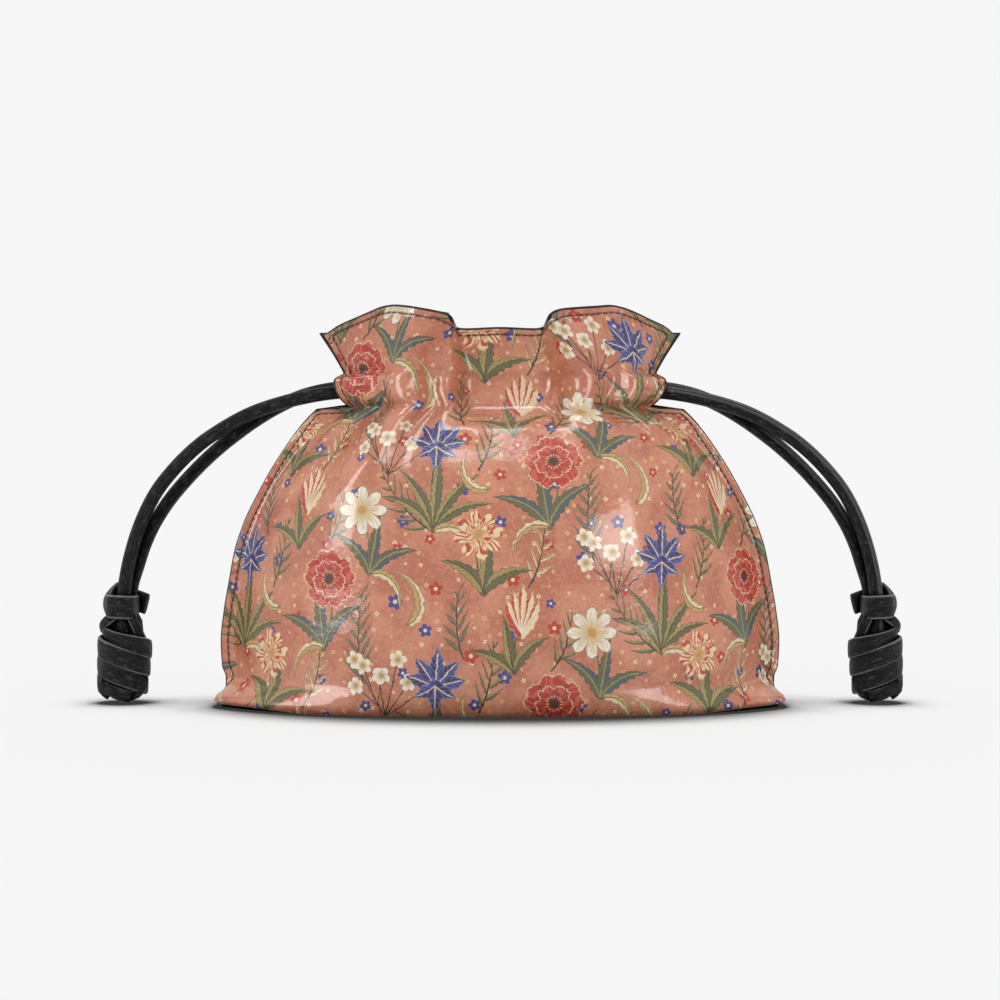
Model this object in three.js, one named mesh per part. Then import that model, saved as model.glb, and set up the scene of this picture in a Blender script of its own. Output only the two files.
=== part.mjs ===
// Drawstring pouch of coated leather, drawn shut at the neck, with a knotted cord at each side.
// Millimetres. X runs to the right, the front faces -Y, Z is up and the pouch stands on Z = 0.
import * as THREE from "three";

// Body
const bodyHalfWidth = 117.3; // centre to the raw edge of the side seam, at its widest
const bodyHalfDepth = 51; // centre to the front wall, at its deepest
const shoulderHeight = 124.4; // top edge of the side seam's flange
const earReach = 2.5; // how far the pointed bottom corner stands out past the seam
const cornerHalfDepth = 11.5; // half the length of the short seam across that corner
const seamMargin = 4.5; // width of the side seam's flange

// Neck, where the cords run
const neckHalfWidth = 69.6; // centre to the outer edge of the tab that the cords leave by
const neckHalfDepth = 26;
const tabMargin = 3;

// Ruffle above the neck
const rimHalfWidth = 75.9;
const rimHalfDepth = 36;
const ruffleHeight = 16; // upper notch to the rim's corner
const crestRise = 9.8; // how far the rim's crests stand over its corners
const ruffleMargin = 3;

// Stock and clearances
const leather = 1.6;
const liningStock = 0.9;
const baseStock = 2;
const fit = 0.3; // between pieces that touch
const slack = 1.2; // between a cord and what it slides in
const cordDiameter = 5.8;
const cordSides = 8;
const cordStep = 15; // length of cord between two of its sections

// Knots
const bandHalfWidth = 6.8;
const bandHalfDepth = 8.8;
const bandHeight = 11;
const bandBottom = 35.2;
const bandWall = 1.7;
const knotHalfWidth = 11.9;
const knotHalfDepth = 10.4;
const knotHeight = 29;
const knotWraps = 4;
const wrapGroove = 1; // depth of the groove between two wraps
const wrapSteps = 3; // heights in one wrap's profile
const knotTaper = 0.2; // share by which the coil's ends are slimmer than its middle
const knotFullness = 3; // the higher, the longer the coil keeps its width
const knotSides = 14;
const bandSegments = 3; // in a quarter of the band's round corners

// Casing: both drawstrings run through it, one above the other, in front and behind
const laneHeight = cordDiameter + slack; // middle of the lower drawstring to the middle of the upper
const casingHeight = laneHeight + cordDiameter + 2 * slack;
const slotHalfDepth = 5.2; // outer face of the lining where the cords pass it
const slotHalfWidth = 44; // where that slot ends
const laneDepth = slotHalfDepth + fit + cordDiameter / 2;
const turnLead = 2; // past the slot's end, where a drawstring starts to turn back
const turnAngles = [-60, -30, 0, 30, 60]; // degrees, where that turn has its points
const notchStep = 0.6; // height over which the outline steps in at the lower notch

const panelColumns = 30;
const liningTuck = 4; // how far the lining's floor lies inside its walls
const liningShare = 0.965; // of a panel's half width, where the lining's two halves meet
const straightFrom = 0.8; // share of the body's height where the lining starts to draw straight
const straightUntil = 0.8; // share of the ruffle's height where it meets the panels again
const seamFace = leather + fit / 2; // outer face of a panel where it lies on the other
const mouthFace = cordDiameter + leather + slack; // the same where two strands pass between
const casingBottom = shoulderHeight + notchStep;
const exitHeight = casingBottom + casingHeight / 2;

// A zone is a stretch of the pouch's height. Its rows are shares of its sizes.
const zones = {
  body: {
    bottom: 0,
    height: shoulderHeight,
    halfWidth: bodyHalfWidth,
    halfDepth: bodyHalfDepth,
    margin: seamMargin,
    openFace: cornerHalfDepth,
  },
  casing: {
    bottom: casingBottom,
    height: casingHeight,
    halfWidth: neckHalfWidth,
    halfDepth: neckHalfDepth,
    margin: tabMargin,
    openFace: mouthFace,
  },
  ruffle: {
    bottom: casingBottom + casingHeight,
    height: ruffleHeight,
    halfWidth: rimHalfWidth,
    halfDepth: rimHalfDepth,
    margin: ruffleMargin,
    openFace: seamFace,
  },
};

// level: share of the zone's height. edge and depth: shares of its half width and half depth.
// margin: share of its flange's width. open: 0 where the flange lies on the other panel's, 1 where
// it stands clear. square: the higher, the squarer the plan. ear: share of the ear's reach.
const rowTable = [
  { zone: "body", level: 0, edge: 0.99, depth: 0.935, margin: 0.2, open: 0.95, square: 3.4, ear: 0.7 },
  { zone: "body", level: 0.013, edge: 1, depth: 0.965, margin: 0.2, open: 1, square: 3.4, ear: 1 },
  { zone: "body", level: 0.054, edge: 0.985, depth: 0.992, margin: 0.2, open: 0.6, square: 3.4, ear: 0 },
  { zone: "body", level: 0.092, edge: 0.982, depth: 1, margin: 0.7, open: 0, square: 3.3, ear: 0 },
  { zone: "body", level: 0.13, edge: 0.995, depth: 1, margin: 1, open: 0, square: 3.2, ear: 0 },
  { zone: "body", level: 0.22, edge: 1, depth: 1, margin: 1, open: 0, square: 3.1, ear: 0 },
  { zone: "body", level: 0.32, edge: 0.989, depth: 0.998, margin: 1, open: 0, square: 3, ear: 0 },
  { zone: "body", level: 0.42, edge: 0.971, depth: 0.988, margin: 1, open: 0, square: 3, ear: 0 },
  { zone: "body", level: 0.525, edge: 0.95, depth: 0.964, margin: 1, open: 0, square: 3, ear: 0 },
  { zone: "body", level: 0.627, edge: 0.913, depth: 0.918, margin: 1, open: 0, square: 3, ear: 0 },
  { zone: "body", level: 0.723, edge: 0.863, depth: 0.85, margin: 1, open: 0, square: 3.1, ear: 0 },
  { zone: "body", level: 0.796, edge: 0.82, depth: 0.78, margin: 1.15, open: 0, square: 3.3, ear: 0 },
  { zone: "body", level: 0.86, edge: 0.777, depth: 0.7, margin: 1.4, open: 0, square: 3.6, ear: 0 },
  { zone: "body", level: 0.928, edge: 0.726, depth: 0.6, margin: 1.9, open: 0, square: 4, ear: 0 },
  { zone: "body", level: 0.973, edge: 0.686, depth: 0.53, margin: 2.8, open: 0, square: 4.6, ear: 0 },
  { zone: "body", level: 1, edge: 0.656, depth: 0.505, margin: 3.4, open: 0, square: 5, ear: 0 },
  { zone: "casing", level: 0, edge: 0.915, depth: 0.98, margin: 0.8, open: 0, square: 5, ear: 0 },
  { zone: "casing", level: 0.18, edge: 0.955, depth: 0.97, margin: 1, open: 0.9, square: 6, ear: 0 },
  { zone: "casing", level: 0.52, edge: 0.994, depth: 0.96, margin: 1, open: 1, square: 6, ear: 0 },
  { zone: "casing", level: 0.78, edge: 1, depth: 0.97, margin: 1, open: 0.85, square: 6, ear: 0 },
  { zone: "casing", level: 1, edge: 0.943, depth: 1, margin: 1, open: 0, square: 5, ear: 0 },
  { zone: "ruffle", level: 0.36, edge: 0.912, depth: 0.79, margin: 1, open: 0, square: 4.4, ear: 0 },
  { zone: "ruffle", level: 0.68, edge: 0.955, depth: 0.9, margin: 1, open: 0, square: 3.8, ear: 0 },
  { zone: "ruffle", level: 1, edge: 1, depth: 1, margin: 1, open: 0, square: 3.5, ear: 0 },
];

// Gathers, seen from the wall's own side. at and top: where the fold stands at the neck and at the
// rim, as shares of the half width. flat and soft: half its flat stretch, and its flank. hem: share
// of the body's height where it dies out. neck and rim: its reach, shares of the neck's half depth.
const foldTable = [
  { at: 0.07, top: 0.0, flat: 0.22, soft: 0.22, hem: 0.84, neck: -0.42, rim: -0.7 },
  { at: -0.8, top: -0.8, flat: 0, soft: 0.13, hem: 0.5, neck: -0.2, rim: -0.05 },
  { at: -0.6, top: -0.56, flat: 0, soft: 0.13, hem: 0.42, neck: 0.12, rim: 0.05 },
  { at: -0.42, top: -0.42, flat: 0, soft: 0.12, hem: 0.6, neck: -0.17, rim: -0.06 },
  { at: 0.53, top: 0.46, flat: 0, soft: 0.13, hem: 0.45, neck: 0.1, rim: 0.05 },
  { at: 0.7, top: 0.68, flat: 0, soft: 0.12, hem: 0.55, neck: -0.18, rim: -0.07 },
  { at: 0.86, top: 0.88, flat: 0, soft: 0.1, hem: 0.4, neck: 0.09, rim: 0.02 },
];

// Outline of the rim: share of the crests' rise, against the share of the half width.
const rimTable = [
  { at: 0, rise: 0.22 },
  { at: 0.2, rise: 0.24 },
  { at: 0.27, rise: 0.58 },
  { at: 0.38, rise: 0.85 },
  { at: 0.6, rise: 1 },
  { at: 0.8, rise: 0.82 },
  { at: 0.9, rise: 0.5 },
  { at: 1, rise: 0 },
];

// Middle of the left side's two free strands, chosen by hand. The right side mirrors them.
const frontStrandRoute = [
  [-65.1, -3.4, 131.4],
  [-68.9, -3.3, 131.2],
  [-76.5, -3.1, 130.2],
  [-84.1, -2.9, 128.7],
  [-90.8, -2.6, 127.1],
  [-97.6, -2.2, 125.1],
  [-104.4, -1.8, 122.6],
  [-111.2, -1.4, 119.3],
  [-117.9, -0.9, 115.4],
  [-124.8, -0.4, 110.8],
  [-131.6, 0.2, 105.1],
  [-138.5, 0.9, 98.0],
  [-144.7, 1.7, 90.2],
  [-149.3, 2.6, 82.2],
  [-152.9, 3.5, 74.1],
  [-155.8, 4.4, 65.6],
  [-158.0, 5.2, 57.1],
  [-159.3, 5.9, 49.9],
  [-159.9, 6.3, 43],
  [-160.1, 6.5, 36],
  [-160.1, 6.6, 29.6],
];
const backStrandRoute = [
  [-65.6, 2.9, 133.4],
  [-69.4, 3.0, 133.2],
  [-77.1, 3.2, 131.9],
  [-84.7, 3.4, 129.7],
  [-91.5, 3.7, 126.7],
  [-98.4, 4.1, 123],
  [-105.2, 4.5, 118.7],
  [-112.0, 4.9, 113.8],
  [-118.9, 5.4, 108.4],
  [-125.8, 5.9, 102.2],
  [-132.7, 6.5, 95.2],
  [-139.4, 7.2, 87.5],
  [-144.2, 8, 80.9],
  [-148.4, 8.9, 73.9],
  [-152.0, 9.8, 65.9],
  [-154.7, 10.6, 57.9],
  [-157.2, 11.4, 50.3],
  [-158.6, 12.1, 43],
  [-158.8, 12.5, 36],
  [-158.9, 12.6, 29.6],
];
const knotCentre = new THREE.Vector2(-160.2, 9.5);

// A drawstring's way from the edge of its tab to its lane. inward: distance from that edge. shift
// and rise: shares of the way to the lane's depth and to its height.
const leadTable = [
  { inward: 0, shift: 0, rise: 0 },
  { inward: 2, shift: 0, rise: 0 },
  { inward: 7, shift: 0.34, rise: 0.4 },
  { inward: 14, shift: 0.85, rise: 0.9 },
];

const mix = THREE.MathUtils.lerp;
const smooth = (x, from, to) => THREE.MathUtils.smoothstep(x, from, to);

// Height of one flank of a fold: 1 on its flat stretch, falling to 0 over its soft width.
function flankHeight(fold, share, place) {
  const away = Math.max(0, Math.abs(share - place) - fold.flat) / fold.soft;
  return away < 1 ? (1 + Math.cos(Math.PI * away)) / 2 : 0;
}

function foldReach(row, share, mirror) {
  let reach = 0;
  for (const fold of foldTable) {
    const inBody = row.zone === "body" ? smooth(row.level, fold.hem, 1) : 1;
    const up = row.zone === "ruffle" ? row.level : 0;
    const place = mix(fold.at, fold.top, up) * mirror;
    reach += inBody * mix(fold.neck, fold.rim, up) * flankHeight(fold, share, place);
  }
  return reach * neckHalfDepth;
}

function rimRise(share) {
  const at = Math.abs(share);
  const next = Math.max(1, rimTable.findIndex((entry) => entry.at >= at));
  const from = rimTable[next - 1];
  const to = rimTable[next];
  return crestRise * mix(from.rise, to.rise, smooth(at, from.at, to.at));
}

// The rows with their sizes worked out in millimetres.
const rows = rowTable.map((row) => {
  const zone = zones[row.zone];
  const edge = row.edge * zone.halfWidth + row.ear * earReach;
  return {
    ...row,
    edge,
    height: zone.bottom + row.level * zone.height,
    turn: edge - row.margin * zone.margin,
    face: mix(seamFace, zone.openFace, row.open),
    reach: row.depth * zone.halfDepth,
  };
});

// A point on a panel's outer face. side is -1 in front and 1 behind; share runs from -1 to 1
// between the two places where the wall turns into its flanges.
function wallPoint(row, share, side) {
  const bulge = mix(row.reach, row.face, Math.abs(share) ** row.square);
  const out = bulge + foldReach(row, share, -side);
  const rise = row.zone === "ruffle" ? row.level * rimRise(share) : 0;
  return new THREE.Vector3(share * row.turn, side * out, row.height + rise);
}

// Flange edge, wall, flange edge: from left to right in front, and on from right to left behind.
// At the bottom corners the flange turns in to meet the other panel's; at the mouth it stays open.
function panelRow(row, side) {
  const face = row.zone === "casing" ? row.face : seamFace;
  const points = [new THREE.Vector3(side * row.edge, side * face, row.height)];
  for (let i = 0; i <= panelColumns; i++) {
    points.push(wallPoint(row, side * (1 - (2 * i) / panelColumns), side));
  }
  points.push(new THREE.Vector3(-side * row.edge, side * face, row.height));
  return points;
}

// Mean normals of a grid of points, one for each. A wrapped grid's last column meets its first.
function gridNormals(grid, wrapped) {
  const columns = grid[0].length;
  const normals = grid.map((row) => row.map(() => new THREE.Vector3()));
  const spans = wrapped ? columns : columns - 1;
  for (let r = 0; r + 1 < grid.length; r++) {
    for (let c = 0; c < spans; c++) {
      const d = (c + 1) % columns;
      const rise = grid[r + 1][d].clone().sub(grid[r][c]);
      const run = grid[r][d].clone().sub(grid[r + 1][c]);
      const normal = run.cross(rise);
      for (const [i, j] of [[r, c], [r, d], [r + 1, c], [r + 1, d]]) normals[i][j].add(normal);
    }
  }
  return normals.map((row) => row.map((normal) => normal.normalize()));
}

// The grid moved along its normals: outwards where the distance is positive.
function offsetGrid(grid, normals, distance) {
  return grid.map((row, r) =>
    row.map((point, c) => point.clone().addScaledVector(normals[r][c], distance)),
  );
}

// One closed body from points and faces, turned so that its faces point outwards.
function closedGeometry(points, faces) {
  let volume = 0;
  for (const [a, b, c] of faces) {
    volume += points[a].dot(points[b].clone().cross(points[c]));
  }
  const turned = volume < 0 ? faces.map(([a, b, c]) => [a, c, b]) : faces;
  const geometry = new THREE.BufferGeometry();
  geometry.setFromPoints(points);
  geometry.setIndex(turned.flat());
  geometry.computeVertexNormals();
  return geometry;
}

function quad(faces, a, b, c, d) {
  faces.push([a, b, c], [a, c, d]);
}

// An open sheet with a thickness, such as one panel.
function sheetGeometry(outer, inner) {
  const rowCount = outer.length;
  const columns = outer[0].length;
  const points = [...outer.flat(), ...inner.flat()];
  const at = (layer, r, c) => layer * rowCount * columns + r * columns + c;
  const faces = [];
  for (let r = 0; r + 1 < rowCount; r++) {
    for (let c = 0; c + 1 < columns; c++) {
      quad(faces, at(0, r, c), at(0, r, c + 1), at(0, r + 1, c + 1), at(0, r + 1, c));
      quad(faces, at(1, r, c), at(1, r + 1, c), at(1, r + 1, c + 1), at(1, r, c + 1));
    }
    const last = columns - 1;
    quad(faces, at(0, r, 0), at(0, r + 1, 0), at(1, r + 1, 0), at(1, r, 0));
    quad(faces, at(0, r, last), at(1, r, last), at(1, r + 1, last), at(0, r + 1, last));
  }
  for (let c = 0; c + 1 < columns; c++) {
    const top = rowCount - 1;
    quad(faces, at(0, 0, c), at(1, 0, c), at(1, 0, c + 1), at(0, 0, c + 1));
    quad(faces, at(0, top, c), at(0, top, c + 1), at(1, top, c + 1), at(1, top, c));
  }
  return closedGeometry(points, faces);
}

// A sack: rings of points, bottom first, with a floor and an open mouth.
function sackGeometry(outer, inner) {
  const rowCount = outer.length;
  const columns = outer[0].length;
  const points = [...outer.flat(), ...inner.flat()];
  const at = (layer, r, c) => layer * rowCount * columns + r * columns + (c % columns);
  const faces = [];
  for (let c = 0; c < columns; c++) {
    for (let r = 0; r + 1 < rowCount; r++) {
      quad(faces, at(0, r, c), at(0, r, c + 1), at(0, r + 1, c + 1), at(0, r + 1, c));
      quad(faces, at(1, r, c), at(1, r + 1, c), at(1, r + 1, c + 1), at(1, r, c + 1));
    }
    const top = rowCount - 1;
    quad(faces, at(0, top, c), at(0, top, c + 1), at(1, top, c + 1), at(1, top, c));
  }
  for (const layer of [0, 1]) {
    const middle = points.length;
    points.push(new THREE.Vector3(0, 0, (layer ? inner : outer)[0][0].z));
    for (let c = 0; c < columns; c++) {
      const rim = [at(layer, 0, c), at(layer, 0, c + 1)];
      faces.push(layer ? [middle, rim[0], rim[1]] : [middle, rim[1], rim[0]]);
    }
  }
  return closedGeometry(points, faces);
}

const panelGrid = (side) => rows.map((row) => panelRow(row, side));
const grids = { front: panelGrid(-1), back: panelGrid(1) };
const normalsOf = {
  front: gridNormals(grids.front, false),
  back: gridNormals(grids.back, false),
};

// Both faces of a wall end at the same height.
function levelRims(inner, outer) {
  const last = inner.length - 1;
  for (const r of [0, last]) {
    inner[r].forEach((point, c) => {
      point.z = outer[r][c].z;
    });
  }
}

function panelGeometry(which) {
  const inner = offsetGrid(grids[which], normalsOf[which], -leather);
  levelRims(inner, grids[which]);
  return sheetGeometry(grids[which], inner);
}

// Flat bottom, cut to lie between the two panels' lower edges.
function baseGeometry() {
  const inset = leather + fit;
  const outline = new THREE.Shape();
  const edge = (which) =>
    offsetGrid([grids[which][0]], [normalsOf[which][0]], -inset)[0].slice(1, -1);
  const loop = [...edge("front"), ...edge("back")];
  outline.setFromPoints(loop.map((point) => new THREE.Vector2(point.x, point.y)));
  return new THREE.ExtrudeGeometry(outline, { depth: baseStock, bevelEnabled: false });
}

// The lining follows the panels at the rim and in the body, and runs straight past the cords.
const liningRows = [4, 6, 8, 9, 10, 11, 12, 13, 14, 16, 18, 20, 21, 22, 23];
const straightness = (row) => {
  if (row.zone === "casing") return 1;
  if (row.zone === "body") return smooth(row.level, straightFrom, 1);
  return 1 - smooth(row.level, 0, straightUntil);
};

// One half of a ring, from beside one seam to beside the other.
function liningHalf(which, row, side) {
  const straight = straightness(rows[row]);
  const points = [];
  for (let i = 1; i < panelColumns; i++) {
    const share = side * (1 - (2 * i) / panelColumns);
    const point = grids[which][row][i + 1].clone();
    point.addScaledVector(normalsOf[which][row][i + 1], -(leather + fit));
    if (row === rows.length - 1) point.z = grids[which][row][i + 1].z;
    point.x = mix(point.x, share * slotHalfWidth, straight);
    point.y = mix(point.y, side * slotHalfDepth, straight);
    points.push(point);
  }
  return points;
}

function liningRing(row) {
  const { turn, height } = rows[row];
  const end = mix(turn * liningShare, slotHalfWidth, straightness(rows[row]));
  const right = new THREE.Vector3(end, 0, height);
  const left = new THREE.Vector3(-end, 0, height);
  return [left, ...liningHalf("front", row, -1), right, ...liningHalf("back", row, 1)];
}

function liningGeometry() {
  const outer = liningRows.map(liningRing);
  const floor = outer[0].map((point) => point.clone().setZ(baseStock + fit));
  const shrink = 1 - liningTuck / bodyHalfDepth;
  for (const point of floor) point.multiply(new THREE.Vector3(shrink, shrink, 1));
  outer.unshift(floor);
  const inner = offsetGrid(outer, gridNormals(outer, true), -liningStock);
  levelRims(inner, outer);
  for (const point of inner[0]) point.z = baseStock + fit + liningStock;
  return sackGeometry(outer, inner);
}

// A round cord along a route.
function cordGeometry(route) {
  const curve = new THREE.CatmullRomCurve3(route, false, "centripetal");
  const section = new THREE.Shape();
  for (let i = 0; i < cordSides; i++) {
    const angle = (2 * Math.PI * i) / cordSides;
    const x = (cordDiameter / 2) * Math.cos(angle);
    const y = (cordDiameter / 2) * Math.sin(angle);
    if (i === 0) section.moveTo(x, y);
    else section.lineTo(x, y);
  }
  section.closePath();
  const steps = Math.round(curve.getLength() / cordStep);
  return new THREE.ExtrudeGeometry(section, { steps, extrudePath: curve, curveSegments: 1 });
}

const mirrored = (points, side) => points.map(([x, y, z]) => new THREE.Vector3(-side * x, y, z));

// From where one strand ends, at its tab, to its lane in front (-1) or behind (1).
function leadPoints([x, y, z], facing, height) {
  const tab = Math.abs(x) - fit;
  return leadTable.map(({ inward, shift, rise }) => [
    tab - inward,
    mix(y, facing * laneDepth, shift),
    mix(z, height, rise),
  ]);
}

// The hidden part of a drawstring: in by the front of its tab, across, round the far end and back.
function loopRoute(side, height) {
  const across = (facing) =>
    [slotHalfWidth, 0, -slotHalfWidth].map((x) => [x, facing * laneDepth, height]);
  const turn = turnAngles.map((angle) => {
    const radians = THREE.MathUtils.degToRad(angle);
    const x = -slotHalfWidth - turnLead - laneDepth * Math.cos(radians);
    return [x, laneDepth * Math.sin(radians), height];
  });
  return [
    ...leadPoints(frontStrandRoute[0], -1, height),
    ...across(-1),
    ...turn,
    ...across(1).reverse(),
    ...leadPoints(backStrandRoute[0], 1, height).reverse(),
  ].map(([x, y, z]) => new THREE.Vector3(side * x, y, z));
}

// A rectangle with round corners, centred.
function roundedOutline(shape, halfWidth, halfDepth, radius) {
  const x = halfWidth - radius;
  const y = halfDepth - radius;
  shape.absarc(x, y, radius, 0, Math.PI / 2);
  shape.absarc(-x, y, radius, Math.PI / 2, Math.PI);
  shape.absarc(-x, -y, radius, Math.PI, 1.5 * Math.PI);
  shape.absarc(x, -y, radius, 1.5 * Math.PI, 2 * Math.PI);
  return shape;
}

// Strap band round both strands.
function bandGeometry() {
  const radius = bandHalfWidth - slack;
  const band = roundedOutline(new THREE.Shape(), bandHalfWidth, bandHalfDepth, radius);
  const hole = roundedOutline(
    new THREE.Path(),
    bandHalfWidth - bandWall,
    bandHalfDepth - bandWall,
    radius - bandWall,
  );
  band.holes.push(hole);
  return new THREE.ExtrudeGeometry(band, {
    depth: bandHeight,
    bevelEnabled: false,
    curveSegments: bandSegments,
  });
}

// The wrapped knot: a barrel with a groove between each two turns of the strap.
function knotGeometry() {
  const profile = [new THREE.Vector2(0, 0)];
  const steps = knotWraps * wrapSteps;
  for (let i = 0; i <= steps; i++) {
    const level = i / steps;
    const barrel = 1 - knotTaper * Math.abs(2 * level - 1) ** knotFullness;
    const groove = i % wrapSteps === 0 && i > 0 && i < steps ? wrapGroove : 0;
    profile.push(new THREE.Vector2(barrel * knotHalfWidth - groove, level * knotHeight));
  }
  profile.push(new THREE.Vector2(0, knotHeight));
  const geometry = new THREE.LatheGeometry(profile, knotSides);
  geometry.rotateX(Math.PI / 2);
  geometry.scale(1, knotHalfDepth / knotHalfWidth, 1);
  return geometry;
}

const finishes = {
  print: new THREE.MeshStandardMaterial({ color: 0xcb8570, roughness: 0.32, metalness: 0 }),
  lining: new THREE.MeshStandardMaterial({ color: 0x1c1c1f, roughness: 0.6, metalness: 0 }),
  cord: new THREE.MeshStandardMaterial({ color: 0x222224, roughness: 0.5, metalness: 0 }),
};

const pouch = new THREE.Group();

function add(name, geometry, finish) {
  const mesh = new THREE.Mesh(geometry, finishes[finish].clone());
  mesh.name = name;
  pouch.add(mesh);
  return mesh;
}

add("front_panel", panelGeometry("front"), "print");
add("back_panel", panelGeometry("back"), "print");
add("base_panel", baseGeometry(), "print");
add("lining", liningGeometry(), "lining");

const lanes = { left: laneHeight / 2, right: -laneHeight / 2 };
for (const [name, side] of [["left", -1], ["right", 1]]) {
  add(`${name}_loop`, cordGeometry(loopRoute(side, exitHeight + lanes[name])), "cord");
  add(`${name}_front_strand`, cordGeometry(mirrored(frontStrandRoute, side)), "cord");
  add(`${name}_back_strand`, cordGeometry(mirrored(backStrandRoute, side)), "cord");
  const band = add(`${name}_knot_band`, bandGeometry(), "cord");
  band.position.set(-side * knotCentre.x, knotCentre.y, bandBottom);
  const knot = add(`${name}_knot_coil`, knotGeometry(), "cord");
  knot.position.set(-side * knotCentre.x, knotCentre.y, 0);
}

export default pouch;
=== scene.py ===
import math
import bmesh
import bpy
import numpy as np
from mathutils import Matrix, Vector


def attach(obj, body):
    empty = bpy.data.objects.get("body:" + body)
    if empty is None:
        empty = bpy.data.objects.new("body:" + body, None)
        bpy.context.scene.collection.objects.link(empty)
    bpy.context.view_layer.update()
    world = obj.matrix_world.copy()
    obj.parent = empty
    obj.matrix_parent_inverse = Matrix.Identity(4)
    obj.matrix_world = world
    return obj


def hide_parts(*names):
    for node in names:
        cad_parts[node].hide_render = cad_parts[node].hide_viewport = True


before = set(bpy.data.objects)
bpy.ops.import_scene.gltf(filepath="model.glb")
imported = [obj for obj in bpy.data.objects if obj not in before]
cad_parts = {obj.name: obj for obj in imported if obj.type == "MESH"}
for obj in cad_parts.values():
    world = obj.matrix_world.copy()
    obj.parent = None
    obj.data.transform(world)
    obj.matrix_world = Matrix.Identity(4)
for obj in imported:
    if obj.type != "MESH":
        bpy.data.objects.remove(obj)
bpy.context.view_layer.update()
mm = 0.001

# ---- camera

cameraSetup = {"place": (0.0, -0.80, 0.086), "lens": 68.3, "sensor": 36.0, "nearest": 0.01}


def addObject(name, data):
    thing = bpy.data.objects.new(name, data)
    bpy.context.scene.collection.objects.link(thing)
    return thing


def addCamera():
    data = bpy.data.cameras.new("camera")
    data.lens = cameraSetup["lens"]
    data.sensor_width = cameraSetup["sensor"]
    data.clip_start = cameraSetup["nearest"]
    camera = addObject("camera", data)
    camera.location = cameraSetup["place"]
    camera.rotation_euler = (math.pi / 2, 0, 0)
    bpy.context.scene.camera = camera


addCamera()
print("camera placed")

# ---- meshes


def meshPiece(name, points, faces, maps=None, materials=None):
    # maps: name of a UV map and one pair for each point
    mesh = bpy.data.meshes.new(name)
    mesh.from_pydata([tuple(map(float, p)) for p in points], [], faces)
    mesh.validate(clean_customdata=False)
    mesh.polygons.foreach_set("use_smooth", [True] * len(mesh.polygons))
    corners = np.zeros(len(mesh.loops), np.int32)
    mesh.loops.foreach_get("vertex_index", corners)
    for title, pairs in (maps or {}).items():
        layer = mesh.uv_layers.new(name=title)
        layer.data.foreach_set("uv", np.asarray(pairs, np.float32)[corners].ravel())
    if materials is not None:
        mesh.polygons.foreach_set("material_index", np.asarray(materials, np.int32))
    mesh.update()
    return addObject(name, mesh)


def pointValues(piece, name, values):
    attribute = piece.data.attributes.new(name, "FLOAT", "POINT")
    attribute.data.foreach_set("value", np.asarray(values, np.float32))


def gridFaces(rows, columns, start=0, wrap=False, flip=False):
    # quads between neighbours of a grid whose points are numbered row by row
    faces = []
    for row in range(start, start + (rows - 1) * columns, columns):
        for c in range(columns if wrap else columns - 1):
            d = (c + 1) % columns
            quad = [row + c, row + d, row + columns + d, row + columns + c]
            faces.append(quad[::-1] if flip else quad)
    return faces


def tubeFaces(rings, count):
    # a closed tube: its rings of points, then one point in the middle of each end
    last = rings * count
    faces = gridFaces(rings, count, wrap=True)
    for c in range(count):
        d = (c + 1) % count
        faces += [[last, d, c], [last + 1, last - count + c, last - count + d]]
    return faces


def unit(vectors):
    return vectors / np.maximum(np.linalg.norm(vectors, axis=-1, keepdims=True), 1e-12)


def gridNormals(grid, wrap=False):
    along = np.gradient(grid, axis=0)
    if wrap:
        across = (np.roll(grid, -1, axis=1) - np.roll(grid, 1, axis=1)) / 2
    else:
        across = np.gradient(grid, axis=1)
    return unit(np.cross(across, along))


def smoothCurve(at, values, wanted):
    # a curve through the given values that never overshoots them
    at, values = np.asarray(at, float), np.asarray(values, float)
    step = np.diff(at)
    slope = np.diff(values) / step
    lean = np.zeros(len(at))
    lean[0], lean[-1] = slope[0], slope[-1]
    for i in range(1, len(at) - 1):
        if slope[i - 1] * slope[i] > 0:
            a, b = 2 * step[i] + step[i - 1], step[i] + 2 * step[i - 1]
            lean[i] = (a + b) / (a / slope[i - 1] + b / slope[i])
    i = np.clip(np.searchsorted(at, wanted, side="right") - 1, 0, len(at) - 2)
    t = (wanted - at[i]) / step[i]
    return (values[i] * (1 + 2 * t) * (1 - t) ** 2 + step[i] * lean[i] * t * (1 - t) ** 2
            + values[i + 1] * t * t * (3 - 2 * t) + step[i] * lean[i + 1] * t * t * (t - 1))


def softStep(x, low, high):
    t = np.clip((x - low) / (high - low), 0, 1)
    return t * t * (3 - 2 * t)


def lengthAlong(line):
    return np.concatenate([[0], np.cumsum(np.linalg.norm(np.diff(line, axis=0), axis=1))])


def pointsAt(line, wanted):
    # the points of a line at the wanted lengths along it
    length = lengthAlong(line)
    return np.stack([np.interp(wanted, length, part) for part in line.T], axis=1)


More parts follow.
